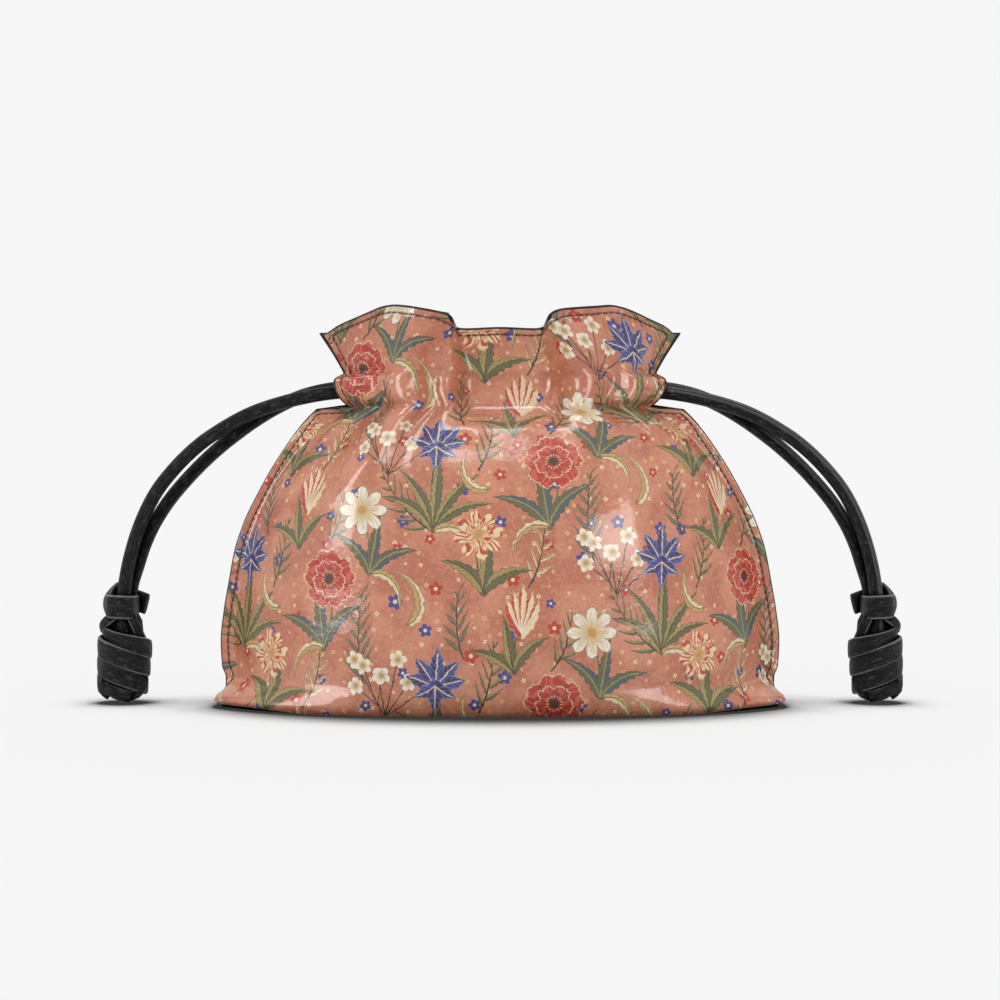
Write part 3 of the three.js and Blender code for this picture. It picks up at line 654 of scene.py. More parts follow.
def strapMesh(path, facing, width, thick, closed=False, widths=None):
    # points, faces, flat map and painted edge highlight of a strap whose outer face looks along facing
    path = np.asarray(path, float)
    tangents = unit(np.roll(path, -1, axis=0) - np.roll(path, 1, axis=0) if closed else np.gradient(path, axis=0))
    facing = unit(facing - tangents * np.sum(facing * tangents, axis=1, keepdims=True))
    across = np.cross(facing, tangents)
    wide, high, edgeHighlight = strapSection(width, thick)
    share = np.ones(len(path)) if widths is None else widths
    grid = (path[:, None] + (wide[None, :] * share[:, None])[..., None] * across[:, None]
            + high[None, :, None] * facing[:, None])
    rings, count = grid.shape[:2]
    faces = []
    for r in range(rings if closed else rings - 1):
        s = (r + 1) % rings
        for c in range(count):
            d = (c + 1) % count
            faces.append([r * count + c, s * count + c, s * count + d, r * count + d])
    if not closed:
        faces.append(list(range(count)))
        faces.append([(rings - 1) * count + c for c in range(count - 1, -1, -1)])
    flat = np.stack([np.tile(wide, rings), np.repeat(lengthAlong(path), count)], axis=1)
    return grid.reshape(-1, 3), faces, flat, np.tile(edgeHighlight, rings)


def coilStrap():
    # the long strap that is wound round the barrel, from the loose turn on top to the last one
    look = knotLook
    turns = np.linspace(look["turnsFrom"], look["turnsUntil"], look["turnPoints"])
    angle = turns * 2 * math.pi
    middle = look["frontHeight"] - look["pitch"] * (turns - 0.75)
    loose = np.clip((1.0 - turns) / look["looseTurns"], 0, 1)
    height = middle - look["tilt"] * np.cos(angle) + look["lift"] * loose ** 2
    at = np.array(barrel)
    wide, deep, lean = (smoothCurve(at[:, 0], at[:, i], np.clip(middle, 0, barrel[-1][0])) for i in (1, 2, 3))
    inset = look["strapThick"] / 2 + look["sway"] * np.sin(angle * 0.5 + 0.6)
    out = np.stack([np.cos(angle), np.sin(angle), 0 * angle], axis=1)
    widths = 1 - look["narrowTop"] * (1 - softStep(turns, *look["narrowTurns"]))
    height = height - (1 - widths) * look["strapWidth"] * look["narrowSink"]
    path = np.stack([lean + (wide - inset) * np.cos(angle), (deep - inset) * np.sin(angle), height], axis=1)
    return strapMesh(path, out, look["strapWidth"], look["strapThick"], widths=widths)


def shortStraps(table):
    made = []
    for width, thick, facing, line in table:
        path = routeThrough(line, knotLook["strapSpacing"])
        made.append(strapMesh(path, np.tile(np.array(facing, float), (len(path), 1)), width, thick))
    return made


def innerTurns():
    # the turns underneath, as one closed solid
    count, (midX, midY) = knotLook["coreSides"], knotLook["coreMiddle"]
    angles = np.linspace(0, 2 * math.pi, count, endpoint=False)
    rings = np.array([np.stack([wide * np.cos(angles) + midX, deep * np.sin(angles) + midY, 0 * angles + z], axis=1)
                      for z, wide, deep in coreRows])
    points = np.vstack([rings.reshape(-1, 3)] + [[[midX, midY, coreRows[i][0]]] for i in (0, -1)])
    return points, tubeFaces(len(coreRows), count), points[:, [0, 2]], np.zeros(len(points))


def wrappedBand():
    look = knotLook
    angle = np.linspace(0, 2 * math.pi, 72, endpoint=False)
    x, y = ((look[half] - look["bandThick"] / 2) * np.sign(turn) * np.abs(turn) ** look["bandSquare"]
            for half, turn in (("bandHalfWidth", np.cos(angle)), ("bandHalfDepth", np.sin(angle))))
    height = look["bandMiddle"] - look["bandSlope"] * np.cos(angle)
    path = np.stack([x + look["bandLean"], y, height], axis=1)
    return strapMesh(path, np.stack([x, y, 0 * x], axis=1), look["bandHeight"], look["bandThick"], True)


def outwardFaces(piece):
    work = bmesh.new()
    work.from_mesh(piece.data)
    bmesh.ops.recalc_face_normals(work, faces=work.faces)
    work.to_mesh(piece.data)
    work.free()


def knotPiece(name, made, sign):
    # made: points, faces, flat map and painted edge highlight of each strap
    points, faces, flat, edgeHighlight = [], [], [], []
    start = 0
    for places, quads, pairs, wearAndHighlight in made:
        places = (places + np.array([*knotLook["centre"], 0])) * np.array([sign, 1, 1])
        places[:, 2] = np.maximum(places[:, 2], knotLook["floor"])
        faces += [[start + i for i in quad[::sign]] for quad in quads]
        points.append(places * mm)
        flat.append(pairs * mm)
        edgeHighlight.append(wearAndHighlight)
        start += len(places)
    piece = meshPiece(name, np.vstack(points), faces, {"flat": np.vstack(flat)})
    pointValues(piece, "edgeHighlight", np.concatenate(edgeHighlight))
    outwardFaces(piece)
    return piece


# ---- shader building

class wire:
    # A value on its way through a node tree. Sums and products of wires make math nodes.
    def __init__(self, tree, socket):
        self.tree, self.socket = tree, socket

    def __add__(self, other):
        return calc("ADD", self, other)

    def __sub__(self, other):
        return calc("SUBTRACT", self, other)

    def __rsub__(self, other):
        return calc("SUBTRACT", other, self)

    def __mul__(self, other):
        return calc("MULTIPLY", self, other)

    def __rmul__(self, other):
        return calc("MULTIPLY", self, other)

    def __truediv__(self, other):
        return calc("DIVIDE", self, other)

    def __pow__(self, other):
        return calc("POWER", self, other)

    def __abs__(self):
        return calc("ABSOLUTE", self)


def plug(value, socket):
    if isinstance(value, wire):
        value.tree.links.new(value.socket, socket)
    else:
        socket.default_value = value


def treeOf(*values):
    return next(value.tree for value in values if isinstance(value, wire))


def newNode(tree, kind, inputs=(), output=0, **settings):
    # a node with its settings and inputs, and a wire from one of its outputs
    node = tree.nodes.new(kind)
    for name, value in settings.items():
        setattr(node, name, value)
    for name, value in inputs:
        plug(value, node.inputs[name])
    return wire(tree, node.outputs[output])


def calc(operation, *values):
    return newNode(treeOf(*values), "ShaderNodeMath", enumerate(values), operation=operation)


def rise(value, low, high, start=0.0, end=1.0):
    # start below low, end above high, with a soft step between
    inputs = zip(("Value", "From Min", "From Max", "To Min", "To Max"), (value, low, high, start, end))
    return newNode(treeOf(value, low, high), "ShaderNodeMapRange", inputs, interpolation_type="SMOOTHSTEP")


def fall(value, low, high, start=1.0):
    return rise(value, low, high, start, 0.0)


def tint(mask, under, over):
    inputs = ((0, mask), (6, under), (7, over))
    return newNode(treeOf(mask, under, over), "ShaderNodeMix", inputs, 2, data_type="RGBA")


def split(vector):
    node = vector.tree.nodes.new("ShaderNodeSeparateXYZ")
    plug(vector, node.inputs[0])
    return [wire(vector.tree, socket) for socket in node.outputs]


def join(x, y):
    return newNode(treeOf(x, y), "ShaderNodeCombineXYZ", ((0, x), (1, y)))


def noise(vector, scale, detail=2.0, roughness=0.5, dimensions="3D"):
    inputs = (("Vector", vector), ("Scale", scale), ("Detail", detail), ("Roughness", roughness))
    return newNode(vector.tree, "ShaderNodeTexNoise", inputs, "Fac", noise_dimensions=dimensions)


def srgb(text):
    # a colour written as six hex digits, as a shader's linear colour
    parts = [int(text[i:i + 2], 16) / 255 for i in (0, 2, 4)]
    return tuple(c / 12.92 if c <= 0.04045 else ((c + 0.055) / 1.055) ** 2.4 for c in parts) + (1.0,)


def newGroup(name, inputs, outputs=(("Colour", "Color"),)):
    # inputs and outputs: name and kind of socket
    tree = bpy.data.node_groups.new(name, "ShaderNodeTree")
    for way, sockets in (("INPUT", inputs), ("OUTPUT", outputs)):
        for title, kind in sockets:
            tree.interface.new_socket(title, in_out=way, socket_type="NodeSocket" + kind)
    entry = tree.nodes.new("NodeGroupInput")
    return tree, {title: wire(tree, entry.outputs[title]) for title, kind in inputs}


def endGroup(tree, **results):
    leave = tree.nodes.new("NodeGroupOutput")
    for title, value in results.items():
        plug(value, leave.inputs[title])


def useGroup(group, tree, **values):
    node = tree.nodes.new("ShaderNodeGroup")
    node.node_tree = group
    for title, value in values.items():
        plug(value, node.inputs[title])
    return {socket.name: wire(tree, socket) for socket in node.outputs}


# ---- the print, drawn on the leather's own flat map, in millimetres

printLook = {
    "across": 92.0,  # one repeat of the print
    "up": 98.0,
    "ground": "d38f6f", "groundDark": "bb7255", "groundPale": "dfa082", "speck": "e9bd7c",
    "cream": "f0dcae", "creamShade": "cda76a", "white": "f4ecd6", "whiteShade": "cbb98c", "heart": "c79a4a",
    "red": "bb3b2c", "redDark": "86222a", "redPale": "e07b5e",
    "blue": "2f4a90", "blueDark": "1e2a66", "bluePale": "8fa2c6",
    "leaf": "5f6b42", "leafDark": "2f3c2a", "leafTeal": "446465", "leafPale": "a6995c",
}


def sockets(numbers, colours):
    return [(name, "Float") for name in numbers.split()] + [(name, "Color") for name in colours.split()]


def newMotif(name, numbers, colours):
    # a motif's own tree, with its local coordinates: the nearest repeat of its place, turned its way
    shared = sockets("PlaceX PlaceY X Y Cos Sin Cover", "Colour")
    outputs = (("Colour", "Color"), ("Cover", "Float"))
    tree, at = newGroup(name, shared + sockets(numbers, colours), outputs)
    across, up = printLook["across"], printLook["up"]
    dx = at["PlaceX"] - at["X"]
    column = calc("ROUND", dx / across)
    dx = dx - column * across
    dy = at["PlaceY"] - at["Y"] - column * (up / 2)
    dy = dy - calc("ROUND", dy / up) * up
    return tree, at, dx * at["Cos"] + dy * at["Sin"], dy * at["Cos"] - dx * at["Sin"]


def endMotif(tree, at, *layers):
    # layers: mask and tone, one over the other
    colour, cover = at["Colour"], at["Cover"]
    for mask, tone in layers:
        colour = tint(mask, colour, tone)
        cover = calc("MAXIMUM", cover, mask)
    endGroup(tree, Colour=colour, Cover=cover)
    return tree


def between(value, low, high):
    return calc("MINIMUM", calc("MAXIMUM", value, low), high)


def length2(x, y):
    return calc("SQRT", x * x + y * y)


def fromRound(value):
    # how far a value is from the nearest whole number, from 0 to 1
    return abs((value - calc("ROUND", value)) * 2.0)


def tuftGroup():
    # blades that fan out from one foot: leaves, or the petals of a flower seen from the side
    tree, at, x, y = newMotif("printTuft", "Pairs Spread Curl Bend Length Width", "Left Right Rib Line")
    reach = length2(x, y)
    part = reach / at["Length"]
    angle = calc("ARCTAN2", y, x) - at["Bend"] * part
    span = at["Spread"] * (at["Curl"] * part + 1.0)
    count = angle / span
    blade = between(calc("ROUND", count), at["Pairs"] * -1.0, at["Pairs"])
    off = (count - blade) * span
    length = at["Length"] * (1.0 - 0.12 * abs(blade))
    along = calc("MINIMUM", reach / length, 1.0)
    across = reach * calc("SINE", between(off, -1.5, 1.5))
    teeth = abs(calc("SINE", reach * 0.9)) * 0.28 + 0.86
    width = at["Width"] * (along ** 0.6) * (1.0 - along) * 2.88 * teeth
    far = abs(across)
    away = far - width
    tone = tint(rise(across / (width + 0.05), -0.35, 0.35), at["Left"], at["Right"])
    vein = calc("SINE", (reach - far * 1.4) * 2.6)
    tone = tint(rise(vein, 0.2, 1.0, 0.0, 0.3) * rise(along, 0.1, 0.3), tone, at["Line"])
    tone = tint(fall(far, 0.12, 0.42, 0.85) * fall(along, 0.75, 0.95), tone, at["Rib"])
    tone = tint(rise(away, -0.75, -0.2, 0.0, 0.75), tone, at["Line"])
    return endMotif(tree, at, (fall(away, -0.3, 0.0), tone))


def sprigGroup():
    # a bent stem with small leaves on both sides, smaller towards its tip
    tree, at, x, y = newMotif("printSprig", "Length Bend Pitch Reach Width", "Left Right Rib Line")
    part = between(x / at["Length"], 0.0, 1.2)
    off = y - at["Bend"] * at["Length"] * part * part
    away = abs(off)
    forward = x - away * 0.9 - away * away * 0.05 + calc("SIGN", off) * at["Pitch"] * 0.25
    leaf = between(calc("ROUND", forward / at["Pitch"]), 1.0, calc("FLOOR", at["Length"] / at["Pitch"]))
    across = forward - leaf * at["Pitch"]
    share = leaf * at["Pitch"] / at["Length"]
    along = calc("MINIMUM", away / (at["Reach"] * (1.0 - 0.7 * share * share)), 1.0)
    width = at["Width"] * (along ** 0.5) * (1.0 - along) * 2.6 * (1.15 - 0.5 * share)
    edge = abs(across) - width
    tone = tint(rise(across, -0.15, 0.25), at["Left"], at["Right"])
    tone = tint(fall(abs(across), 0.08, 0.26, 0.8), tone, at["Rib"])
    tone = tint(rise(edge, -0.5, -0.1, 0.0, 0.7), tone, at["Line"])
    past = x - between(x, 0.0, at["Length"])
    stem = length2(away, past) - (0.42 - 0.2 * part)
    return endMotif(tree, at, (fall(edge, -0.15, 0.08), tone), (fall(stem, -0.12, 0.14), at["Line"]))


def stemGroup():
    tree, at, x, y = newMotif("printStem", "Length Bend Width", "Tone Line")
    part = between(x / at["Length"], 0.0, 1.0)
    across = y - at["Bend"] * at["Length"] * calc("SINE", part * math.pi)
    away = length2(across, x - part * at["Length"]) - at["Width"]
    tone = tint(rise(across / at["Width"], -0.6, 0.6), at["Line"], at["Tone"])
    return endMotif(tree, at, (fall(away, -0.12, 0.14), tone))


def blossomGroup():
    # a flower seen from the front
    tree, at, x, y = newMotif("printBlossom", "Petals Radius Notch Tip Frill Streaks Heart",
                              "Inner Outer Streak Rim Middle Stamen")
    reach = length2(x, y)
    angle = calc("ARCTAN2", y, x)
    off = fromRound(angle * at["Petals"] / (2 * math.pi))
    middle = 1.0 - off
    lines = calc("SINE", angle * 17.0 + calc("SINE", angle * 5.0 + reach * 0.5) * 3.0)
    frill = calc("SINE", angle * 31.0 + lines * 1.5) * at["Frill"]
    outline = at["Radius"] * (1.0 - at["Notch"] * (off ** 3.0) + at["Tip"] * middle * middle + frill)
    away = reach - outline
    out = reach / outline
    heart = at["Heart"]
    tone = tint(rise(out, 0.15, 0.85), at["Inner"], at["Outer"])
    tone = tint(rise(lines, -0.1, 0.7) * at["Streaks"] * rise(out, 0.1, 0.35), tone, at["Streak"])
    tone = tint(rise(off, 0.72, 1.0, 0.0, 0.8) * rise(out, 0.25, 0.6), tone, at["Inner"])
    tone = tint(fall(abs(away + 0.28), 0.1, 0.38, 0.85), tone, at["Rim"])
    ring = fall(abs(reach - heart * 1.55), 0.2, heart * 0.35 + 0.1)
    tone = tint(ring * rise(calc("SINE", angle * 15.0), 0.0, 0.5), tone, at["Stamen"])
    tone = tint(fall(reach, heart * 0.85, heart), tone, at["Middle"])
    tone = tint(fall(abs(reach - heart), 0.1, 0.4, 0.7), tone, at["Inner"])
    return endMotif(tree, at, (fall(away, -0.1, 0.15), tone))


def sprayGroup():
    # small five-petalled flowers on thin stems from one foot
    tree, at, x, y = newMotif("printSpray", "Pairs Spread Reach Radius", "Petal Shade Heart Stem")
    reach = length2(x, y)
    count = calc("ARCTAN2", y, x) / at["Spread"]
    stalk = between(calc("ROUND", count), at["Pairs"] * -1.0, at["Pairs"])
    off = (count - stalk) * at["Spread"]
    odd = abs(calc("MODULO", stalk, 2.0))
    far = at["Reach"] * (1.0 - odd * 0.34 + abs(stalk) * 0.05)
    across = reach * calc("SINE", between(off, -1.5, 1.5))
    stem = fall(abs(across), 0.16, 0.4) * fall(reach, far - 1.0, far)
    past = reach - far
    near = length2(past, across)
    petal = fromRound((calc("ARCTAN2", across, past) + stalk * 0.7) * 5.0 / (2 * math.pi))
    edge = near - at["Radius"] * (1.0 - petal * petal * 0.42)
    tone = tint(rise(near / at["Radius"], 0.2, 0.75), at["Shade"], at["Petal"])
    tone = tint(rise(petal, 0.75, 1.0, 0.0, 0.7), tone, at["Shade"])
    tone = tint(fall(near, 0.75, 1.1), tone, at["Heart"])
    return endMotif(tree, at, (stem, at["Stem"]), (fall(edge, -0.1, 0.15), tone))


def scatterGroup():
    # small flowers strewn by chance, each turned its own way
    inputs = sockets("Gap Share Petals Radius Notch", "Colour First Second Heart")
    tree, at = newGroup("printScatter", [("Place", "Vector")] + inputs)
    x, y, z = split(at["Place"])
    x, y = x / at["Gap"], y / at["Gap"]
    cells = tree.nodes.new("ShaderNodeTexVoronoi")
    cells.voronoi_dimensions = "2D"
    for name, value in (("Scale", 1.0), ("Randomness", 0.8), ("Vector", join(x, y))):
        plug(value, cells.inputs[name])
    px, py, pz = split(wire(tree, cells.outputs["Position"]))
    pick = tree.nodes.new("ShaderNodeSeparateColor")
    plug(wire(tree, cells.outputs["Color"]), pick.inputs[0])
    lots, kind, spin = [wire(tree, socket) for socket in pick.outputs]
    dx = (x - px) * at["Gap"]
    dy = (y - py) * at["Gap"]
    reach = length2(dx, dy)
    petal = fromRound(calc("ARCTAN2", dy, dx) * at["Petals"] / (2 * math.pi) + spin)
    size = at["Radius"] * (spin * 0.4 + 0.7)
    edge = reach - size * (1.0 - petal * petal * at["Notch"])
    tone = tint(rise(kind, 0.5, 0.52), at["First"], at["Second"])
    tone = tint(fall(reach / size, 0.2, 0.34), tone, at["Heart"])
    mask = fall(edge, -0.12, 0.15) * calc("LESS_THAN", lots, at["Share"])
    endGroup(tree, Colour=tint(mask, at["Colour"], tone))
    return tree


def groundGroup():
    tree, at = newGroup("printGround", [("Place", "Vector")])
    broad = noise(at["Place"], 0.045, 3.0, 0.6, "2D")
    fine = noise(at["Place"], 0.5, 4.0, 0.7, "2D")
    dark, mean, pale = (srgb(printLook[name]) for name in ("groundDark", "ground", "groundPale"))
    colour = tint(rise(broad, 0.35, 0.65), dark, mean)
    colour = tint(rise(fine, 0.45, 0.75, 0.0, 0.55), colour, pale)
    endGroup(tree, Colour=tint(rise(fine, 0.5, 0.3, 0.0, 0.35), colour, dark))
    return tree


# Where each motif stands in one repeat: millimetres from its middle and degrees anticlockwise, then its measures.
tufts = [
    # x, y, turn, tones, pairs, spread, curl, bend, length, width; the last three are flowers seen from the side
    (-26, -24, 86, "green", 2, 0.22, 1.9, 0, 36, 2.4), (20, -22, 98, "teal", 1, 0.34, 2.0, 0, 30, 2.9),
    (6, 18, 100, "green", 1, 0.42, 1.5, 0, 24, 2.4), (40, 8, 80, "teal", 1, 0.36, 1.9, 0, 26, 2.5),
    (-6, -48, 84, "green", 1, 0.44, 1.6, 0, 25, 2.8), (-36, 37, 25, "cream", 0, 0.6, 0, 1.5, 24, 2.6),
    (-4, -6, 200, "cream", 0, 0.6, 0, -1.5, 20, 2.3), (-26, -24, 40, "cream", 0, 0.6, 0, -1.2, 21, 2.2),
    (20, -22, 150, "cream", 0, 0.6, 0, 1.3, 20, 2.2), (41, 8, 20, "cream", 0, 0.6, 0, -1.3, 19, 2.2),
    (-25, 12, 86, "blue", 2, 0.5, 0.35, 0, 17, 3.3), (-25, 13, 268, "blue", 1, 0.85, 0.3, 0, 11, 2.8),
    (9, 34, 88, "flame", 2, 0.3, -0.3, 0, 20, 3.0),
]
sprigs = [
    # x, y, turn, tones, length, bend, reach
    (-26, -24, 150, "green", 30, -0.35, 7.5), (38, -36, 105, "teal", 36, -0.25, 7.0),
    (-8, 2, 62, "green", 28, 0.3, 6.5), (-14, 24, 110, "teal", 26, -0.3, 6.5),
    (21, 19, 50, "green", 24, 0.4, 6.0), (12, -46, 60, "cream", 26, 0.3, 6.5),
]
stems = [
    # x, y, turn, length, bend
    (-26, -24, 88, 36, 0.05), (20, -22, 84, 26, -0.07), (6, 18, 84, 18, 0.06), (40, 8, 97, 24, -0.05),
    (-6, -48, 96, 24, 0.06),
]
blossoms = [
    # x, y, turn, tones, petals, radius, notch, tip, frill
    (22, 6, 20, "red", 5, 13.0, 0.26, -0.14, 0.03), (22, 6, 56, "red", 5, 8.2, 0.3, -0.1, 0.03),
    (37, 34, 0, "white", 8, 10.0, 0.5, 0.06, 0.0), (-8, -25, 10, "flame", 8, 9.6, 0.32, 0.1, 0.02),
    (-8, -25, 32, "flame", 6, 5.2, 0.3, 0.1, 0.02),
]
sprays = [(-45, 0, 78, 2, 0.36, 24), (44, -44, 112, 1, 0.5, 17)]  # x, y, turn, pairs, spread, reach
leafTones = {  # left, right, rib, line
    "green": ("leaf", "leafPale", "leafDark", "leafDark"),
    "teal": ("leafTeal", "leaf", "leafPale", "leafDark"),
    "cream": ("cream", "creamShade", "leaf", "leafDark"),
    "blue": ("blue", "blueDark", "cream", "bluePale"),
    "flame": ("cream", "red", "white", "creamShade"),
}
flowerTones = {  # inner, outer, streak, rim, middle, stamen, then the heart's radius and the streaks' strength
    "red": ("redDark", "red", "redPale", "cream", "leafDark", "speck", 1.9, 0.5),
    "white": ("whiteShade", "white", "creamShade", "leafDark", "heart", "speck", 2.0, 0.35),
    "flame": ("creamShade", "cream", "red", "redPale", "heart", "speck", 1.5, 0.95),
}


def printGroup():
    # The motifs come first and the ground last: a long chain of plain numbers is what the renderer can hold.
    tree, at = newGroup("botanicalPrint", [("Place", "Vector")])
    look = {name: srgb(text) for name, text in printLook.items() if isinstance(text, str)}
    shake = noise(at["Place"], 0.55, 2.0, 0.5, "2D")
    x, y, z = split(at["Place"])
    x = x + shake * 1.1
    y = y - shake * 0.9
    now = {"Colour": look["ground"], "Cover": 0.0}

    def draw(group, place, names, numbers, titles, colours):
        angle = math.radians(place[2])
        values = {name: float(value) for name, value in zip(names.split(), numbers)}
        values.update({title: look[colour] for title, colour in zip(titles.split(), colours)})
        now.update(useGroup(group, tree, PlaceX=x, PlaceY=y, X=float(place[0]), Y=float(place[1]),
                            Cos=math.cos(angle), Sin=math.sin(angle), **now, **values))

    sprig, stem, spray, tuft, blossom, scatter = (
        sprigGroup(), stemGroup(), sprayGroup(), tuftGroup(), blossomGroup(), scatterGroup())
    for one in sprigs:
        draw(sprig, one, "Length Bend Reach Pitch Width", one[4:] + (5.0, 1.3),
             "Left Right Rib Line", leafTones[one[3]])
    for one in stems:
        draw(stem, one, "Length Bend Width", one[3:] + (0.45,), "Tone Line", ("leafPale", "leafDark"))
    for one in sprays:
        draw(spray, one, "Pairs Spread Reach Radius", one[3:] + (3.6,),
             "Petal Shade Heart Stem", ("white", "whiteShade", "heart", "leafDark"))
    for one in tufts:
        draw(tuft, one, "Pairs Spread Curl Bend Length Width", one[4:], "Left Right Rib Line", leafTones[one[3]])
    for one in blossoms:
        tones = flowerTones[one[3]]
        draw(blossom, one, "Petals Radius Notch Tip Frill Heart Streaks", one[4:] + tones[6:],
             "Inner Outer Streak Rim Middle Stamen", tones[:6])
    ground = useGroup(groundGroup(), tree, Place=at["Place"])["Colour"]
    ground = useGroup(scatter, tree, Place=at["Place"], Colour=ground, Gap=6.5, Share=0.7, Petals=4.0, Radius=0.95,
                      Notch=0.55, First=look["speck"], Second=look["cream"], Heart=look["groundDark"])["Colour"]
    ground = useGroup(scatter, tree, Place=at["Place"], Colour=ground, Gap=15.0, Share=0.6, Petals=5.0, Radius=2.9,
                      Notch=0.45, First=look["blue"], Second=look["red"], Heart=look["cream"])["Colour"]
    colour = tint(now["Cover"], ground, now["Colour"])
    brush = noise(at["Place"], 1.7, 4.0, 0.75, "2D")
    endGroup(tree, Colour=tint(rise(brush, 0.35, 0.7, 0.22, 0.0), colour, look["redDark"]))
    return tree


# ---- finishes

leatherLook = {
    "roughness": 0.45, "coat": 0.75, "coatRoughness": 0.11, "grain": 0.035, "wrinkle": 0.4, "groove": 0.5,
    "specular": 0.15, "seam": "5a2f22", "seamStrength": 0.55, "ink": "120b0a",
    "inkFrom": 0.05, "inkUntil": 0.45,  # width of the painted edge
    "inkRim": 0.4, "inkStep": 1.4, "inkEar": 0.45,  # how much wider it is on the rim, its steps and the corners
    "rimHeights": (112.0, 126.0), "stepHeights": (130.0, 140.0), "stepInner": (16.5, 17.8),
    "stepOuter": (21.5, 20.0), "earHeights": (14.0, 5.0), "earAside": (106.0, 112.0),
}
# edge is the pale tone of a painted highlight along the straps' edges and beside the cords' seams; the paler streak
# tone is the leather's own wear
blackLook = {
    "tone": "050505", "wearAndHighlight": "4e4e56", "edge": "bcbcc4", "roughness": 0.36, "grain": 0.8, "specular": 0.2,
    # the near-black of the painted shade in creases and under overlapping straps, and how far it looks for leather
    # that closes a place in
    "creaseShade": "010101", "creaseReach": 2.6,
}
liningTone = {"dark": "0c0c0e", "pale": "1a1a1d", "sheen": 0.15, "roughness": 0.72, "threads": 9.0}
paintTone = {"dark": "0e0d0e", "pale": "1c1a1b", "roughness": 0.38}
threadTone = {"tone": "4a2a20", "dark": "2c1812", "roughness": 0.6, "twist": 12.0}


def newMaterial(name, fixed):
    # fixed: the shader's inputs that are the same all over
    material = bpy.data.materials.new(name)
    material.use_nodes = True
    inputs = material.node_tree.nodes["Principled BSDF"].inputs
    for title, value in fixed.items():
        inputs[title].default_value = value
    return material, material.node_tree, inputs


def millimetres(tree, kind="ShaderNodeTexCoord", output="Object", **settings):
    place = newNode(tree, kind, output=output, **settings)
    return newNode(tree, "ShaderNodeVectorMath", ((0, place), ("Scale", 1 / mm)), operation="SCALE")


def flatPlace(tree):
    return millimetres(tree, "ShaderNodeUVMap", "UV", uv_map="flat")


def pebble(vector, scale, dimensions="3D"):
    # leather grain: the borders between small cells, as a height from 0 to 1
    cells = newNode(vector.tree, "ShaderNodeTexVoronoi", (("Vector", vector), ("Scale", scale)), "Distance",
                    voronoi_dimensions=dimensions, feature="DISTANCE_TO_EDGE")
    return rise(cells, 0.0, 0.22)


def bumped(tree, height, distance, strength=1.0):
    inputs = (("Distance", distance), ("Strength", strength), ("Height", height))
    return newNode(tree, "ShaderNodeBump", inputs, "Normal")


def attributeWire(tree, name):
    return newNode(tree, "ShaderNodeAttribute", output="Fac", attribute_name=name)


def openness(tree, reach, samples):
    # how open a place is to its surroundings within a reach
    return newNode(tree, "ShaderNodeAmbientOcclusion", (("Distance", reach),), "AO", samples=samples)


def printedLeather():
    look = leatherLook
    material, tree, inputs = newMaterial("printedLeather", {
        "Coat Roughness": look["coatRoughness"], "Specular IOR Level": look["specular"]})
    place = flatPlace(tree)
    colour = useGroup(printGroup(), tree, Place=place)["Colour"]
    fromEdge = attributeWire(tree, "edgeDistance") * (1 / mm)
    line = fall(abs(fromEdge - leatherCut["stitchInset"]), 0.15, 0.75)
    colour = tint(line * look["seamStrength"], colour, srgb(look["seam"]))
    x, y, z = split(millimetres(tree))
    aside = abs(x)
    atStep = rise(aside, *look["stepInner"]) * rise(aside, *look["stepOuter"]) * rise(z, *look["stepHeights"])
    atEar = rise(z, *look["earHeights"]) * rise(aside, *look["earAside"])
    margin = fromEdge - rise(z, *look["rimHeights"], 0.0, look["inkRim"])
    inked = fall(margin - atStep * look["inkStep"] - atEar * look["inkEar"], look["inkFrom"], look["inkUntil"])
    plug((1 - inked * 0.8) * look["coat"], inputs["Coat Weight"])
    plug(tint(inked, colour, srgb(look["ink"])), inputs["Base Color"])
    fine = noise(place, 2.2, 2.0, 0.6, "2D")
    wrinkle = noise(place, 0.16, 3.0, 0.55, "2D") * look["wrinkle"]
    groove = line * look["groove"]
    height = pebble(place, 1.1, "2D") * look["grain"] + fine * 0.03 + wrinkle - groove
    plug(bumped(tree, height, mm, 0.5), inputs["Normal"])
    plug(bumped(tree, fine * 0.02 + wrinkle * 0.8 - groove, mm, 0.45), inputs["Coat Normal"])
    rough = look["roughness"]
    plug(rise(noise(place, 0.4, 2.0, 0.6, "2D"), 0.3, 0.7, rough - 0.06, rough + 0.08), inputs["Roughness"])
    return material


def blackLeather(name, onMap=True):
    look = blackLook
    material, tree, inputs = newMaterial(name, {})
    body = millimetres(tree)
    cells = pebble(body, 1.35)
    pores = noise(body, 3.5, 3.0, 0.65)
    x, y, z = split(flatPlace(tree) if onMap else body)
    drawn = noise(join(x * 2.4, y * 0.22), 1.0, 3.0, 0.6, "2D")
    streaks = noise(join(x * 0.9, y * 0.22), 1.0, 2.0, 0.65, "2D")
    colour = tint(rise(streaks, 0.48, 0.74) * rise(pores, 0.35, 0.6), srgb(look["tone"]), srgb(look["wearAndHighlight"]))
    # painted highlight: the pale edge tone along the straps' edges and beside the cords' seams stands for light
    # caught there
    colour = tint(attributeWire(tree, "edgeHighlight") * rise(pores, 0.25, 0.6, 0.25, 0.75), colour, srgb(look["edge"]))
    # painted shade: near black, with less shine, where other leather closes a place in, in creases and under
    # overlapping straps
    unshaded = rise(openness(tree, look["creaseReach"] * mm, 6), 0.45, 0.95)
    shine, rough = look["specular"], look["roughness"]
    plug(tint(unshaded, srgb(look["creaseShade"]), colour), inputs["Base Color"])
    plug(unshaded * rise(pores, 0.35, 0.65, shine * 0.45, shine * 1.5), inputs["Specular IOR Level"])
    plug(bumped(tree, cells * 0.5 + pores * 0.35 + drawn * 0.8, look["grain"] * mm), inputs["Normal"])
    plug(rise(pores, 0.3, 0.7, rough - 0.08, rough + 0.1), inputs["Roughness"])
    return material


